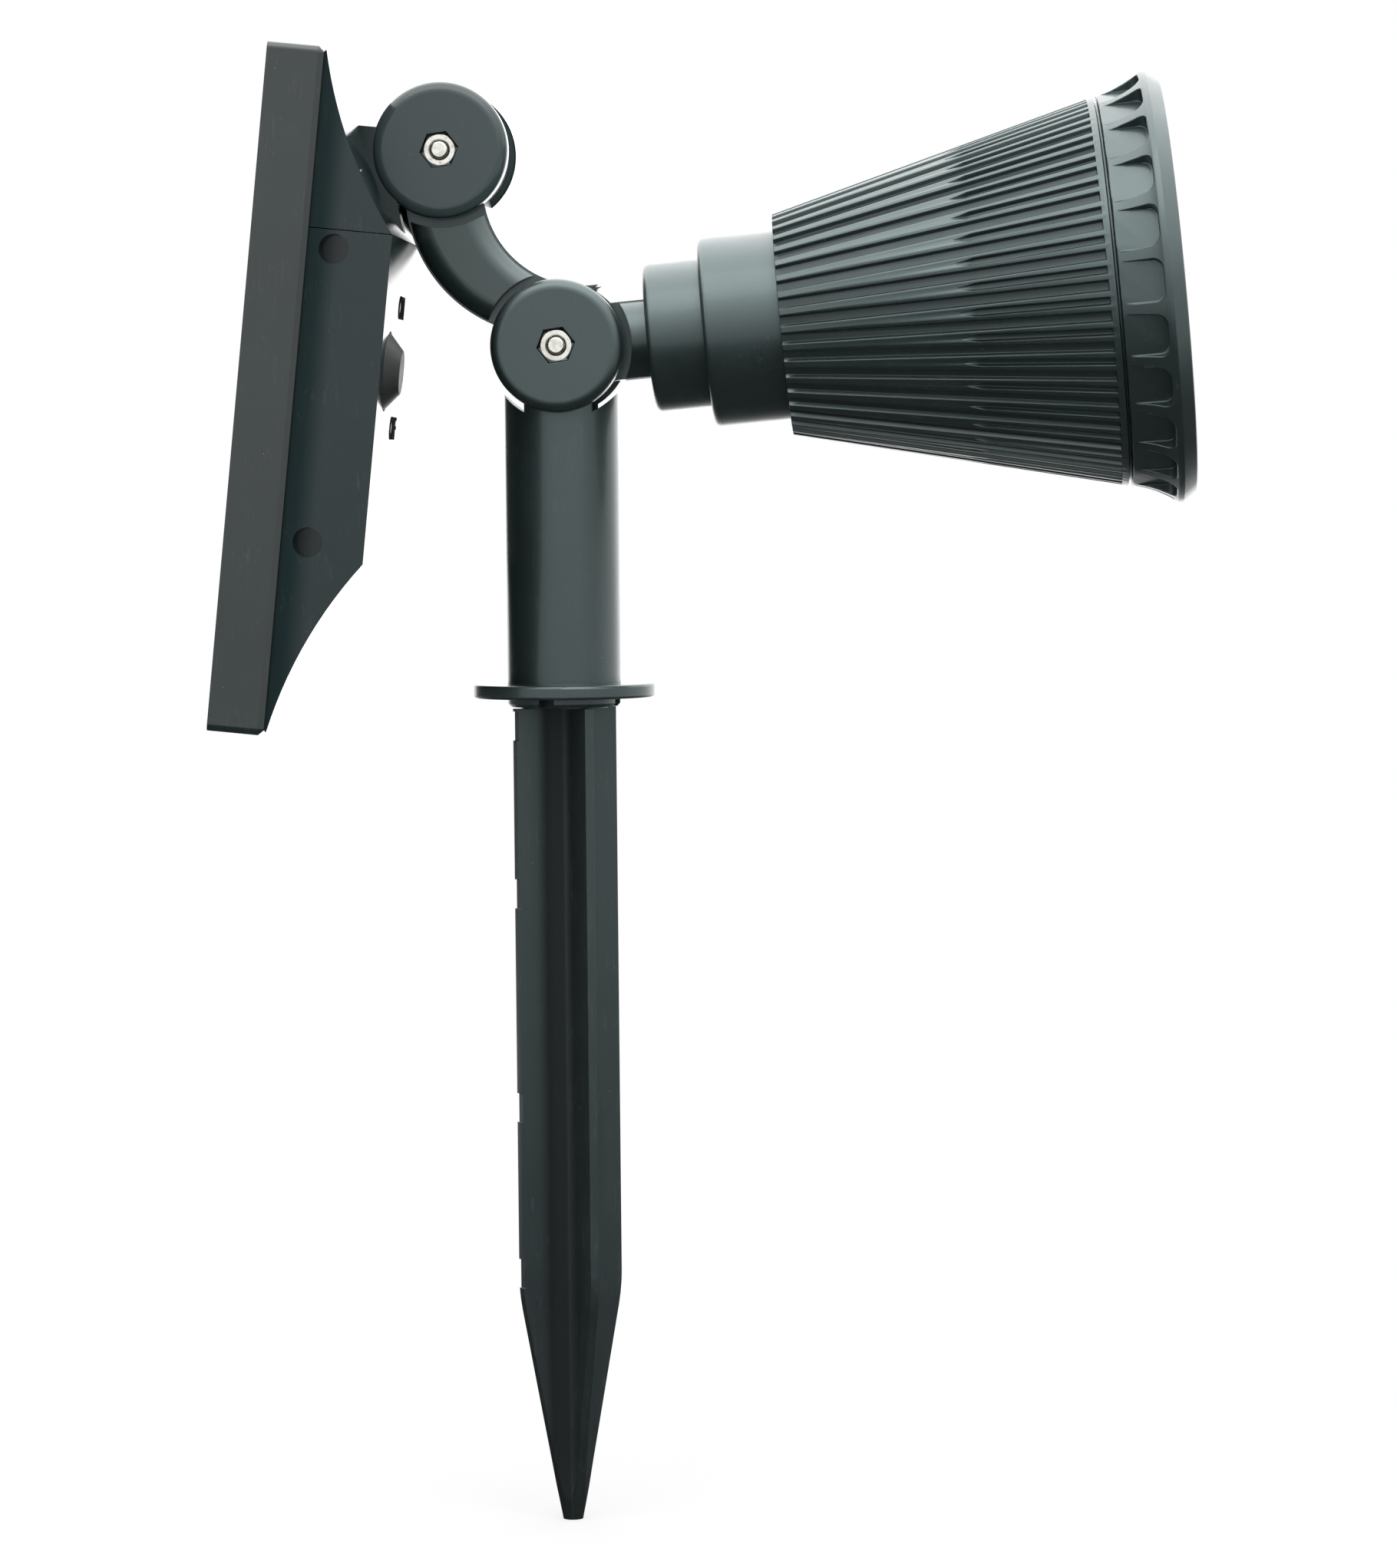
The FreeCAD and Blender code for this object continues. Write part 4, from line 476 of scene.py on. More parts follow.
def solar_cells():
    """Dark blue cells with busbars and fine fingers under clear resin."""
    material, nodes = new_material("solar cells under resin")
    flat, split = on_panel(nodes)
    across, up = split["Y"], split["Z"]
    low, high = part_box("solar_sheet")
    width = high.y - low.y
    cell_wide = (width - CELL_MARGINS) / 2
    beside = (across + 10 * cell_wide).cycle(cell_wide)
    above = (up + 10 * CELL_TALL).cycle(CELL_TALL)
    gap = 1 - beside.between(0.5 * MM, 0.7 * MM) * above.between(0.5 * MM, 0.7 * MM)
    finger = (up + 1.0).cycle(FINGER_SPACING) - FINGER_SPACING / 2
    finger = 1 - finger.size().between(0.05 * MM, 0.10 * MM)
    bar = 1 - ((across + 1.0).cycle(cell_wide / 3) - cell_wide / 6).size().between(0.55 * MM, 0.65 * MM)
    crystal = nodes.add("ShaderNodeTexVoronoi", None, Vector=flat, Scale=170.0)["Color"]
    blue = nodes.mix(nodes.add("ShaderNodeSeparateColor", None, crystal)["Red"],
                     (0.006, 0.012, 0.045), (0.012, 0.026, 0.085))
    shade = nodes.mix(finger * 0.55, blue, (0.35, 0.37, 0.40))
    shade = nodes.mix(bar, shade, (0.62, 0.63, 0.64))
    shade = nodes.mix(gap, shade, (0.035, 0.038, 0.045))
    dust = nodes.specks(flat, 3 * MM, 0.14 * MM, 0.3)
    shade = nodes.mix(dust * 0.5, shade, DUST)
    swell = nodes.noise(flat, 14 * MM, 2.0)
    rough = 0.10 + dust * 0.4 + swell * 0.06
    normal = nodes.bump(swell, 0.12 * MM, 0.3)
    finish_material(nodes, {"IOR": 1.5, "Coat Weight": 0.6, "Coat Roughness": 0.05},
                    **{"Base Color": shade, "Roughness": rough, "Normal": normal})
    return material


def groove_floor_shade(nodes):
    """Painted shade on the floors of the shell's grooves, by their depth under its cone."""
    place = nodes.moved(nodes.moved(nodes.place(), shift=-LOW_PIVOT), turn=(0, HEAD_RISE, 0))
    split = nodes.add("ShaderNodeSeparateXYZ", None, place)
    radius = (split["Y"] ** 2 + split["Z"] ** 2) ** 0.5
    depth = SMALL_RADIUS + (split["X"] - SHELL_START) * math.tan(CONE) - radius
    return depth.between(0.45 * MM, 0.9 * MM) * 0.45


def stake_flute_shade(nodes):
    """Painted shade in a band down the stake beside its middle, by place across it alone, so on all its
    sides.
    """
    along = nodes.add("ShaderNodeSeparateXYZ", None, nodes.place())["X"]
    return (1 - (along + 2.1 * MM).size().between(1.2 * MM, 4.2 * MM)) * 0.9


def stake_seam(nodes):
    """The fine mould line down the middle of the stake."""
    along = nodes.add("ShaderNodeSeparateXYZ", None, nodes.place())["X"]
    return (1 - along.size().between(0.09 * MM, 0.20 * MM)) * 0.9


FINISHES = {
    "ground_stake": black_plastic("stake plastic", 0.34, 0.012 * MM, dust=0.30, hairlines=0.16,
                                  tint=(0.0120, 0.0150, 0.0160), density=1.68, pale=stake_seam,
                                  hollow=stake_flute_shade),
    "column_tube": black_plastic("column plastic", 0.40, 0.015 * MM, skin=0.3, density=1.70),
    "arm": black_plastic("arm plastic", 0.42, 0.015 * MM, skin=0.5, density=1.62),
    "head": black_plastic("lamp head plastic", 0.38, 0.015 * MM, skin=0.3, density=1.70),
    "shell": black_plastic("ribbed shell plastic", 0.38, 0.015 * MM, skin=0.3, density=1.70,
                           hollow=groove_floor_shade),
    "panel_frame": black_plastic("panel frame plastic", 0.40, 0.012 * MM, skin=1.0, density=1.22),
    "housing": black_plastic("housing plastic", 0.40, 0.012 * MM, tint=SHADED_HOUSING_BLACK, skin=0.85, density=1.05,
                             clear=skin_kept_under_painted_shade),
    "bracket": black_plastic("bracket plastic", 0.40, 0.012 * MM, tint=SHADED_HOUSING_BLACK, skin=0.85, density=1.05,
                             clear=skin_kept_under_painted_shade, pale=lit_ear_discs),
    "steel": zinc_steel(),
    "button": black_rubber(),
    "lens": lens_clear(),
    "reflector": bright_reflector(),
    "board": circuit_board(),
    "emitter": phosphor(),
    "cell": cell_sleeve(),
    "seal": seal_rubber(),
    "ink": mark_ink(),
    "solar": solar_cells(),
}

NODE_FINISH = {
    "ground_stake": "ground_stake", "column_tube": "column_tube",
    "arm_near_half": "arm", "arm_far_half": "arm",
    "head_neck": "head", "ribbed_shell": "shell", "bezel_ring": "head",
    "panel_frame": "panel_frame", "panel_bracket": "bracket", "battery_housing": "housing",
    "lower_pivot_bolt": "steel", "lower_pivot_nut": "steel",
    "upper_pivot_bolt": "steel", "upper_pivot_nut": "steel",
    "shell_screws": "steel", "board_screws": "steel", "housing_screws": "steel", "battery_contacts": "steel",
    "front_lens": "lens", "lens_gasket": "seal", "reflector_tray": "reflector",
    "light_board": "board", "control_board": "board", "light_emitters": "emitter",
    "solar_sheet": "solar", "switch_body": "seal", "switch_button": "button",
    "battery_cradle": "housing", "battery_cell": "cell",
}


def dress_nodes():
    """Give every CAD node its finish."""
    for name, finish in NODE_FINISH.items():
        node = frame["nodes"][name]
        node.data.materials.clear()
        node.data.materials.append(FINISHES[finish])


# ---------------------------------------------------------------- modelling tools

def start_mesh(adding, name, **given):
    """Add a primitive with nothing else selected, and leave it open in edit mode."""
    bpy.ops.object.select_all(action="DESELECT")
    adding(**given)
    piece = bpy.context.object
    piece.name = name
    bpy.ops.object.transform_apply(location=True, rotation=True, scale=True)
    bpy.ops.object.mode_set(mode="EDIT")
    return piece


def close_mesh(angle=35):
    """Merge doubles, point the faces outwards, leave edit mode and smooth all but sharp edges."""
    bpy.ops.mesh.select_all(action="SELECT")
    bpy.ops.mesh.remove_doubles(threshold=0.0005 * MM)
    bpy.ops.mesh.normals_make_consistent(inside=False)
    bpy.ops.object.mode_set(mode="OBJECT")
    bpy.ops.object.shade_smooth_by_angle(angle=math.radians(angle))


def traced(name, points):
    """A chain of edges through points, left open in edit mode with all of it selected."""
    piece = start_mesh(bpy.ops.mesh.primitive_plane_add, name, size=MM, location=points[0])
    bpy.ops.mesh.select_all(action="SELECT")
    bpy.ops.mesh.merge(type="CENTER")
    for start, finish in zip(points, points[1:]):
        bpy.ops.mesh.extrude_region_move(TRANSFORM_OT_translate={"value": finish - start})
    bpy.ops.mesh.select_all(action="SELECT")
    return piece


def lathed(name, centre, axis, profile, steps=48):
    """A turned piece: the profile's points are a radius and a height along the axis from its centre."""
    out = axis.orthogonal().normalized()
    piece = traced(name, [centre + out * radius + axis * height for radius, height in profile])
    bpy.ops.mesh.spin(steps=steps, angle=math.tau, center=centre, axis=axis)
    close_mesh()
    return piece


def hexagon_bar(name, centre, axis, flats, length, turn):
    """A hexagonal bar along an axis, its first corner turned up from across."""
    heading = (Quaternion(axis, turn - math.pi / 2) @ axis.to_track_quat("Z", "Y")).to_euler()
    piece = start_mesh(bpy.ops.mesh.primitive_cylinder_add, name, vertices=6, radius=flats / math.sqrt(3),
                       depth=length, location=centre, rotation=heading)
    close_mesh()
    return piece


def pick(*pieces):
    """Select these pieces alone, and make the first one active."""
    bpy.ops.object.select_all(action="DESELECT")
    for piece in pieces:
        piece.select_set(True)
    bpy.context.view_layer.objects.active = pieces[0]


def cut(piece, tool, operation):
    """Apply a boolean with a tool and throw the tool away."""
    pick(piece)
    modifier = piece.modifiers.new("cut", "BOOLEAN")
    modifier.operation = operation
    modifier.solver = "EXACT"
    modifier.object = tool
    bpy.ops.object.modifier_apply(modifier=modifier.name)
    bpy.data.objects.remove(tool)


def joined(*pieces):
    """Join pieces into the first one."""
    pick(*pieces)
    bpy.ops.object.join()
    return pieces[0]


def mounted(piece, finish, body, *nodes):
    """Give a finished piece its material, its body and the CAD nodes that it stands for."""
    piece.data.materials.clear()
    piece.data.materials.append(FINISHES[finish])
    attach(piece, body)
    if nodes:
        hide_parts(*nodes)


# ---------------------------------------------------------------- knuckle fasteners

TOWARDS = Vector((0, -1, 0))
FLATS = 7.0 * MM
CORNER = FLATS / math.sqrt(3)
CORNER_SLOPE = math.tan(math.radians(30))
HEAD_HEIGHT = 2.8 * MM
PITCH = 0.7 * MM
THREADED = 12 * MM
FASTENER_SMOOTH = math.radians(28)
LOW_NUT_TURN = math.radians(8.5)
HIGH_NUT_TURN = math.radians(13.6) + math.atan2(PANEL_BACK.z, PANEL_BACK.x)


def ridges(first, last, deep, high):
    """Profile points of thread ridges between two heights."""
    count = int(abs(last - first) / PITCH)
    step = (last - first) / count
    points = []
    for index in range(count):
        points += [(deep, first + index * step), (high, first + (index + 0.45) * step),
                   (high, first + (index + 0.55) * step)]
    return points + [(deep, last)]


def pivot_nut(node, body, pivot, turn):
    """Chamfered nut with a countersunk threaded hole."""
    low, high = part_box(node)
    face, back = -low.y, -high.y
    centre = Vector((pivot.x, 0, pivot.z))
    middle = centre + TOWARDS * (face + back) / 2
    nut = hexagon_bar(node + "_detailed", middle, TOWARDS, FLATS, face - back, turn)
    land = 0.475 * FLATS
    drop = (CORNER - land) * CORNER_SLOPE
    bore = ridges(back + 0.3 * MM, face - 0.4 * MM, 2.16 * MM, 2.04 * MM)
    profile = [(2.4 * MM, back), (land, back), (CORNER + 0.1 * MM, back + 1.1 * drop),
               (CORNER + 0.1 * MM, face - 1.1 * drop), (land, face), (2.34 * MM, face)]
    profile += list(reversed(bore)) + [(2.4 * MM, back)]
    blank = lathed("nut_blank", centre, TOWARDS, profile)
    cut(nut, blank, "INTERSECT")
    bpy.ops.object.shade_smooth_by_angle(angle=FASTENER_SMOOTH)
    mounted(nut, "steel", body, node)


def pivot_bolt(node, body, pivot, turn):
    """Hexagon head bolt with a chamfered end and thread ridges towards its nut."""
    low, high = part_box(node)
    tip, crown = -low.y, -high.y
    centre = Vector((pivot.x, 0, pivot.z))
    seat = crown + HEAD_HEIGHT
    middle = centre + TOWARDS * (crown + seat) / 2
    head = hexagon_bar(node + "_detailed", middle, TOWARDS, FLATS, seat - crown, turn)
    land = 0.47 * FLATS
    drop = (CORNER - land) * CORNER_SLOPE
    blank = lathed("head_blank", centre, TOWARDS, [
        (0, crown + 0.25 * MM), (2.2 * MM, crown + 0.25 * MM), (2.5 * MM, crown), (land, crown),
        (CORNER + 0.1 * MM, crown + 1.1 * drop), (CORNER + 0.1 * MM, seat + 0.1 * MM), (0, seat + 0.1 * MM)])
    cut(head, blank, "INTERSECT")
    thread = ridges(tip - THREADED, tip - 0.55 * MM, 1.72 * MM, 1.98 * MM)
    shank = lathed("shank", centre, TOWARDS, [
        (0, seat - 0.2 * MM), (1.98 * MM, seat - 0.2 * MM), (1.98 * MM, tip - 12.2 * MM)] + thread + [
        (1.93 * MM, tip - 0.4 * MM), (1.70 * MM, tip - 0.08 * MM), (1.58 * MM, tip), (0, tip)])
    bolt = joined(head, shank)
    bpy.ops.object.shade_smooth_by_angle(angle=FASTENER_SMOOTH)
    mounted(bolt, "steel", body, node)


def knuckle_fasteners():
    """Both knuckles' bolts and nuts."""
    pivot_nut("lower_pivot_nut", "column", LOW_PIVOT, LOW_NUT_TURN)
    pivot_bolt("lower_pivot_bolt", "column", LOW_PIVOT, LOW_NUT_TURN)
    pivot_nut("upper_pivot_nut", "panel", HIGH_PIVOT, HIGH_NUT_TURN)
    pivot_bolt("upper_pivot_bolt", "panel", HIGH_PIVOT, HIGH_NUT_TURN)


# ---------------------------------------------------------------- lamp shell

SHELL_WALL = 3.0 * MM
NECK_SEAT = 15.85 * MM
BEZEL_SEAT, BEZEL_SEAT_DEPTH = 39.25 * MM, 6.0 * MM
GROOVES = 40
GROOVE_DEPTH = 1.0 * MM
GROOVE_FRONT = SHELL_END - 1.5 * MM
LONG_TOP, LONG_FLOOR = 2.45 * MM, 1.8 * MM
LONG_OVERRUN = 3 * MM
SHORT_TOP, SHORT_FLOOR = 1.75 * MM, 1.15 * MM
SHORT_START, SHORT_RUNOUT = 92.0 * MM, 4.5 * MM
LAND_EASING = 0.13 * MM
TURNED_STEPS = 240


def shell_radius(along, wall=0.0):
    """Radius of the shell's cone at a distance along the lamp axis, set in by a wall."""
    return SMALL_RADIUS + (along - SHELL_START) * math.tan(CONE) - wall


def on_lamp(along, up, across=0.0):
    """A point in the lamp head's frame."""
    return LOW_PIVOT + LAMP_AXIS * along + LAMP_UP * up + Vector((0, across, 0))


def repeated_round_lamp(count):
    """Point an open mesh's faces outwards, repeat it round the lamp's axis and leave edit mode."""
    bpy.ops.mesh.select_all(action="SELECT")
    bpy.ops.mesh.normals_make_consistent(inside=False)
    bpy.ops.mesh.spin(steps=count - 1, dupli=True, angle=math.tau * (count - 1) / count,
                      center=LOW_PIVOT, axis=LAMP_AXIS)
    bpy.ops.object.mode_set(mode="OBJECT")


def groove_tools(name, width, bottom, rear, first_turn, runout=0.0):
    """Bars that cut every groove of a kind, each running back from the plain front band to its rear end."""
    floor = shell_radius(GROOVE_FRONT) - GROOVE_DEPTH / math.cos(CONE)
    section = [(-bottom / 2, 0), (bottom / 2, 0), (width / 2, GROOVE_DEPTH), (width / 2, 2 * GROOVE_DEPTH),
               (-width / 2, 2 * GROOVE_DEPTH), (-width / 2, GROOVE_DEPTH)]
    bar = traced(name, [on_lamp(GROOVE_FRONT, floor + up, across) for across, up in section])
    bpy.ops.mesh.edge_face_add()
    down_cone = -(LAMP_AXIS + LAMP_UP * math.tan(CONE))
    bpy.ops.mesh.extrude_region_move(TRANSFORM_OT_translate={"value": down_cone * (GROOVE_FRONT - rear)})
    if runout:
        rise = LAMP_UP * (GROOVE_DEPTH / math.cos(CONE) + 0.1 * MM)
        bpy.ops.mesh.extrude_region_move(TRANSFORM_OT_translate={"value": down_cone * runout + rise})
        bpy.ops.transform.resize(value=(1, 0.25, 1), center_override=on_lamp(rear, 0))
    repeated_round_lamp(GROOVES)
    turn = Matrix.Rotation(first_turn, 4, LAMP_AXIS)
    bar.matrix_world = Matrix.Translation(LOW_PIVOT) @ turn @ Matrix.Translation(-LOW_PIVOT)
    bpy.ops.object.transform_apply(location=True, rotation=True, scale=True)
    return bar


def eased(piece, width, segments=2, angle=35):
    """Round a piece's sharp edges a little."""
    pick(piece)
    modifier = piece.modifiers.new("eased edges", "BEVEL")
    modifier.width = width
    modifier.segments = segments
    modifier.limit_method = "ANGLE"
    modifier.angle_limit = math.radians(angle)
    modifier.use_clamp_overlap = False
    bpy.ops.object.modifier_apply(modifier=modifier.name)
    bpy.ops.object.shade_smooth_by_angle(angle=math.radians(35))


def lamp_shell():
    """Conical shell with long grooves, short ones that fade in between them, and rounded lands."""
    seat = SHELL_END - BEZEL_SEAT_DEPTH
    floor = SHELL_START + SHELL_WALL
    shell = lathed("ribbed_shell_detailed", LOW_PIVOT, LAMP_AXIS, [
        (SMALL_RADIUS, SHELL_START), (NECK_SEAT, SHELL_START), (NECK_SEAT, floor),
        (shell_radius(floor, SHELL_WALL), floor), (shell_radius(seat, SHELL_WALL), seat),
        (BEZEL_SEAT, seat), (BEZEL_SEAT, SHELL_END), (LARGE_RADIUS, SHELL_END),
        (SMALL_RADIUS, SHELL_START)], steps=TURNED_STEPS)
    cut(shell, groove_tools("long_grooves", LONG_TOP, LONG_FLOOR, SHELL_START - LONG_OVERRUN, 0),
        "DIFFERENCE")
    cut(shell, groove_tools("short_grooves", SHORT_TOP, SHORT_FLOOR, SHORT_START, math.pi / GROOVES,
                            SHORT_RUNOUT), "DIFFERENCE")
    eased(shell, LAND_EASING)
    mounted(shell, "shell", "head", "ribbed_shell")


# ---------------------------------------------------------------- bezel

SPIGOT_RADIUS, SPIGOT_BORE, SPIGOT_REAR = 39.2 * MM, 37.6 * MM, SHELL_END - 5.85 * MM
SEAM_RADIUS, SEAM_FRONT = 41.55 * MM, SHELL_END + 0.8 * MM
LENS_SEAT = 130.5 * MM
WINDOW_RADIUS, WINDOW_FRONT = 35.5 * MM, 132.5 * MM
LIP_INNER, LIP_OUTER, LIP_FRONT = 41.95 * MM, 45.35 * MM, 136.0 * MM
BEZEL_RADIUS, CHAMFER_REAR = 47.35 * MM, 133.0 * MM
FLARE_RADIUS, FLARE_END = 26.0 * MM, 132.0 * MM
FLARE_STEPS = 12
BEZEL_EASING = 0.3 * MM

THUMB_START, THUMB_END = 122.7 * MM, 131.65 * MM
THUMB_HALF, THUMB_CORNER = 4.5 * MM, 2.1 * MM
THUMB_COUNT = 24
THUMB_SLOPE = math.radians(4)
THUMB_SUNK = 0.2 * MM
THUMB_OVERRUN = 2 * MM
THUMB_HEIGHT = 7 * MM
THUMB_EASING = 0.2 * MM


def flare():
    """The hollow curve of the ring's outside, from its lip back to the seam."""
    first, last = Vector((shell_radius(SEAM_FRONT), SEAM_FRONT)), Vector((BEZEL_RADIUS, FLARE_END))
    chord = last - first
    off = math.sqrt(FLARE_RADIUS ** 2 - (chord.length / 2) ** 2)
    centre = (first + last) / 2 + Vector((chord.y, -chord.x)).normalized() * off
    start_angle, end_angle = (math.atan2(point.y - centre.y, point.x - centre.x) for point in (first, last))
    points = []
    for step in range(FLARE_STEPS + 1):
        turn = end_angle + (start_angle - end_angle) * step / FLARE_STEPS
        points.append((centre.x + FLARE_RADIUS * math.cos(turn), centre.y + FLARE_RADIUS * math.sin(turn)))
    return points


def thumb_tools():
    """Blocks that cut every thumb pocket, each with rounded corners at its deep front end."""
    forward = LAMP_AXIS * math.cos(THUMB_SLOPE) + LAMP_UP * math.sin(THUMB_SLOPE)
    outward = LAMP_UP * math.cos(THUMB_SLOPE) - LAMP_AXIS * math.sin(THUMB_SLOPE)
    start = on_lamp(THUMB_START, shell_radius(THUMB_START) - THUMB_SUNK)
    length = (THUMB_END - THUMB_START) / math.cos(THUMB_SLOPE)
    straight, side = length - THUMB_CORNER, THUMB_HALF - THUMB_CORNER
    turns = [math.radians(15 * step) for step in range(7)]
    corner = [(straight + THUMB_CORNER * math.sin(turn), side + THUMB_CORNER * math.cos(turn))
              for turn in turns]
    outline = [(-THUMB_OVERRUN, THUMB_HALF)] + corner
    outline += [(along, -across) for along, across in reversed(corner)]
    outline.append((-THUMB_OVERRUN, -THUMB_HALF))
    tools = traced("thumb_tools", [start + forward * along + Vector((0, across, 0))
                                   for along, across in outline])
    bpy.ops.mesh.edge_face_add()
    bpy.ops.mesh.extrude_region_move(TRANSFORM_OT_translate={"value": outward * THUMB_HEIGHT})
    repeated_round_lamp(THUMB_COUNT)
    return tools


def bezel():
    """The flared ring with its thumb pockets deepened towards the front."""
    ring = lathed("bezel_ring_detailed", LOW_PIVOT, LAMP_AXIS, [
        (SPIGOT_BORE, SPIGOT_REAR), (SPIGOT_BORE, LENS_SEAT), (WINDOW_RADIUS, LENS_SEAT),
        (WINDOW_RADIUS, WINDOW_FRONT), (LIP_INNER, LIP_FRONT), (LIP_OUTER, LIP_FRONT),
        (BEZEL_RADIUS, CHAMFER_REAR)] + flare() + [
        (SEAM_RADIUS, SEAM_FRONT), (SEAM_RADIUS, SHELL_END), (SPIGOT_RADIUS, SHELL_END),
        (SPIGOT_RADIUS, SPIGOT_REAR), (SPIGOT_BORE, SPIGOT_REAR)], steps=TURNED_STEPS)
    eased(ring, BEZEL_EASING, 3)
    cut(ring, thumb_tools(), "DIFFERENCE")
    bpy.ops.object.mode_set(mode="EDIT")
    close_mesh(30)
    eased(ring, THUMB_EASING, 2, 40)
    mounted(ring, "head", "head", "bezel_ring")


# ---------------------------------------------------------------- switch marks

HOUSING_BACK = 4.6 * MM
MARK_HEIGHT = 7.0 * MM
MARK_RELIEF = 0.15 * MM
MARK_WIDENING = 0.08 * MM


def switch_mark(name, word, above, beside):
    """A raised mark on the housing's back, above or below the button's middle and beside it."""
    low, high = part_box("switch_button")
    middle = (low + high) / 2
    middle -= PANEL_BACK * ((middle - HIGH_PIVOT).dot(PANEL_BACK) + HOUSING_BACK)
    bpy.ops.object.select_all(action="DESELECT")
    bpy.ops.object.text_add()
    mark = bpy.context.object
    mark.name = name
    mark.data.body = word
    mark.data.size = MARK_HEIGHT
    mark.data.align_x = "CENTER"
    mark.data.align_y = "CENTER"
    mark.data.extrude = MARK_RELIEF
    mark.data.offset = MARK_WIDENING
    bpy.ops.object.convert(target="MESH")
    turned = Matrix((Vector((0, 1, 0)), PANEL_UP, PANEL_BACK)).transposed().to_4x4()
    mark.matrix_world = Matrix.Translation(middle + PANEL_UP * above + Vector((0, beside, 0))) @ turned
    bpy.ops.object.transform_apply(location=True, rotation=True, scale=True)
    bpy.ops.object.mode_set(mode="EDIT")
    close_mesh()
    mounted(mark, "ink", "panel")


def switch_marks():
    """Plain ON and OFF marks beside the button, above and below it."""
    switch_mark("mark_on", "ON", above=13.6 * MM, beside=18 * MM)
    switch_mark("mark_off", "OFF", above=-12.5 * MM, beside=22 * MM)


# ---------------------------------------------------------------- studio

EYE = Vector((84.0, -1200.0, 43.9)) * MM
AIM = Vector((29.5, 0.0, -19.5)) * MM
FOCAL_LENGTH = 124.8
ROLL = math.radians(0.55)


def camera():
    """The camera that frames the whole light from its side."""
    data = bpy.data.cameras.new("camera")
    data.lens = FOCAL_LENGTH
    data.sensor_width = 36.0
    data.sensor_fit = "AUTO"
    data.clip_start = 0.05
    data.clip_end = 20.0
    item = bpy.data.objects.new("camera", data)
    bpy.context.scene.collection.objects.link(item)
    look = (AIM - EYE).to_track_quat("-Z", "Y")
    turn = look @ Quaternion((0, 0, 1), -ROLL)
    item.matrix_world = Matrix.Translation(EYE) @ turn.to_matrix().to_4x4()
    bpy.context.scene.camera = item


def softbox(name, place, target, width, height, power):
    """A soft rectangular lamp that faces a point."""
    data = bpy.data.lights.new(name, "AREA")
    data.shape = "RECTANGLE"
    data.size = width
    data.size_y = height
    data.energy = power
    item = bpy.data.objects.new(name, data)
    bpy.context.scene.collection.objects.link(item)
    heading = (Vector(target) - Vector(place)).to_track_quat("-Z", "Y")
    item.matrix_world = Matrix.Translation(Vector(place)) @ heading.to_matrix().to_4x4()


TENT_STRENGTH = 3.85
MATT_SHARE = 0.41
TENT_LEVELS = [(0.0, 0.30), (0.08, 0.42), (0.17, 0.64), (0.27, 0.88), (0.38, 1.0), (0.65, 0.98), (0.85, 0.66),
               (1.0, 0.60)]
DARK_CARD = (-0.956, 0.292, 0.0)
GREY_CARD = (0.99, 0.10, 0.0)
# The floor ends this far behind the light, so gloss that faces back and down mirrors the tent.
FLOOR_BEHIND = 0.7
FLOOR_SIZE = 40.0
FLOOR_MIDDLE = FLOOR_BEHIND - FLOOR_SIZE / 2
FLOOR_WHITE = (0.86, 0.86, 0.86)
FRONT_GLOSS, FRONT_SHARE = 0.03, 0.8
SHADOW_REACH = (0.10, 0.45)
GLOSS_REACH = (0.55, 1.25)
BACK_REACH = (0.15, 0.6)


def world():
    """The surround, white to the eye.

    Gloss sees a tent of light: brightest overhead, weaker towards the horizon and weakest in front, with
    a dark card at the left and a grey one at the right. Matte surfaces get MATT_SHARE of the same tent.
    """
    surround = bpy.data.worlds.new("studio")
    bpy.context.scene.world = surround
    surround.use_nodes = True
    nodes = Nodes(surround.node_tree)
    rays = nodes.add("ShaderNodeLightPath")
    heading = nodes.add("ShaderNodeTexCoord")["Generated"]
    parts = nodes.add("ShaderNodeSeparateXYZ", None, heading)
    over = nodes.add("ShaderNodeMath", {"operation": "ARCTAN2"}, parts["Z"], parts["Y"] * -1.0)["Value"]
    levels = [(place, (level, level, level)) for place, level in TENT_LEVELS]
    arch = nodes.add("ShaderNodeValToRGB", {"stops": levels}, over.size() / math.pi)["Color"]
    level = nodes.add("ShaderNodeSeparateColor", None, arch)["Red"] * TENT_STRENGTH
    left = nodes.add("ShaderNodeVectorMath", {"operation": "DOT_PRODUCT"}, heading, DARK_CARD)["Value"]
    right = nodes.add("ShaderNodeVectorMath", {"operation": "DOT_PRODUCT"}, heading, GREY_CARD)["Value"]
    tent = level * (1 - left.between(0.70, 0.84) * 0.95) * (1 - right.between(0.5, 0.9) * 0.45)
    seen = rays["Is Camera Ray"].most(rays["Is Transmission Ray"])
    matt = MATT_SHARE + rays["Is Glossy Ray"] * (1 - MATT_SHARE)
    light = nodes.add("ShaderNodeBackground", None, Color=(1, 1, 1), Strength=seen + (1 - seen) * tent * matt)
    nodes.add("ShaderNodeOutputWorld", None, Surface=light["Background"])


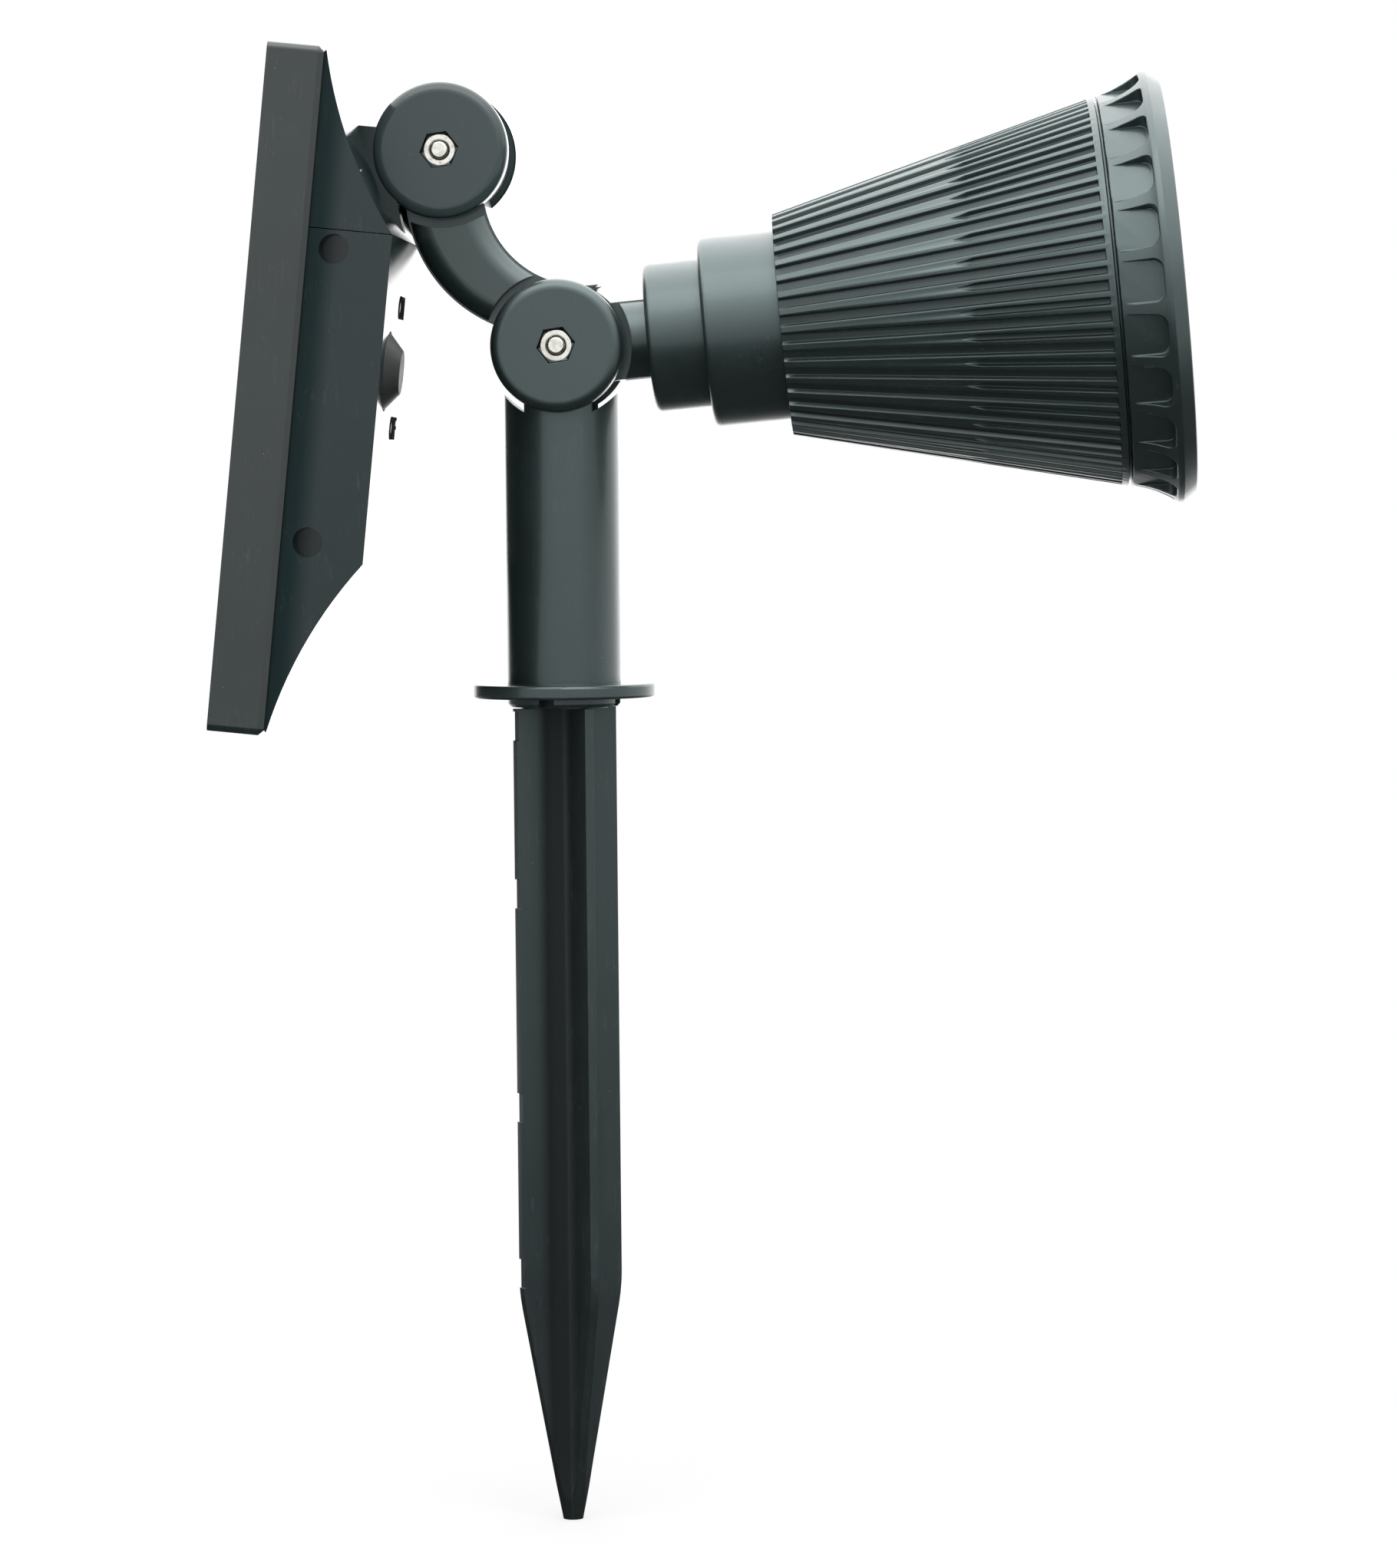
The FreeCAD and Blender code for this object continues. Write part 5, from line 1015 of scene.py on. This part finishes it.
def floor():
    """A pale floor, white to the eye apart from a soft shadow.

    In gloss it is dark close in front of the light, and white behind it as far as it reaches.
    """
    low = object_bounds()[0]
    bpy.ops.object.select_all(action="DESELECT")
    bpy.ops.mesh.primitive_plane_add(size=FLOOR_SIZE, location=(0, FLOOR_MIDDLE, low[2]))
    plane = bpy.context.object
    plane.name = "studio_floor"
    material, nodes = new_material("pale floor")
    rays = nodes.add("ShaderNodeLightPath")
    place = nodes.moved(nodes.place(), shift=(0, FLOOR_MIDDLE, 0))
    behind = nodes.add("ShaderNodeSeparateXYZ", None, place)["Y"].between(*BACK_REACH)
    far = nodes.add("ShaderNodeVectorMath", {"operation": "LENGTH"}, place)["Value"].between(*SHADOW_REACH)
    plain = rays["Is Camera Ray"].most(rays["Is Transmission Ray"])
    matt = nodes.add("ShaderNodeBsdfDiffuse", None, Color=FLOOR_WHITE)["BSDF"]
    glow = nodes.add("ShaderNodeEmission", None, Color=(1, 1, 1), Strength=1.0)["Emission"]
    out = nodes.add("ShaderNodeVectorMath", {"operation": "LENGTH"}, place)["Value"].between(*GLOSS_REACH)
    front = FRONT_GLOSS + out * FRONT_SHARE * TENT_LEVELS[0][1] * TENT_STRENGTH
    dark = nodes.add("ShaderNodeEmission", None, Color=(1, 1, 1), Strength=front)["Emission"]
    seen = nodes.add("ShaderNodeMixShader", None, plain * (0.6 + 0.4 * far), matt, glow)["Shader"]
    mirrored = nodes.add("ShaderNodeMixShader", None, behind, dark, glow)["Shader"]
    blend = nodes.add("ShaderNodeMixShader", None, rays["Is Glossy Ray"], seen, mirrored)["Shader"]
    nodes.add("ShaderNodeOutputMaterial", None, Surface=blend)
    plane.data.materials.append(material)
    plane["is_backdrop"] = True


def studio():
    """Camera, floor, surround and lamps."""
    bpy.context.scene.view_settings.view_transform = "Standard"
    camera()
    world()
    floor()
    softbox("top softbox", place=(0.05, -0.62, 0.98), target=(0, 0, 0.03), width=1.3, height=0.72,
            power=3.0)


studio()
dress_nodes()
knuckle_fasteners()
lamp_shell()
bezel()
switch_marks()
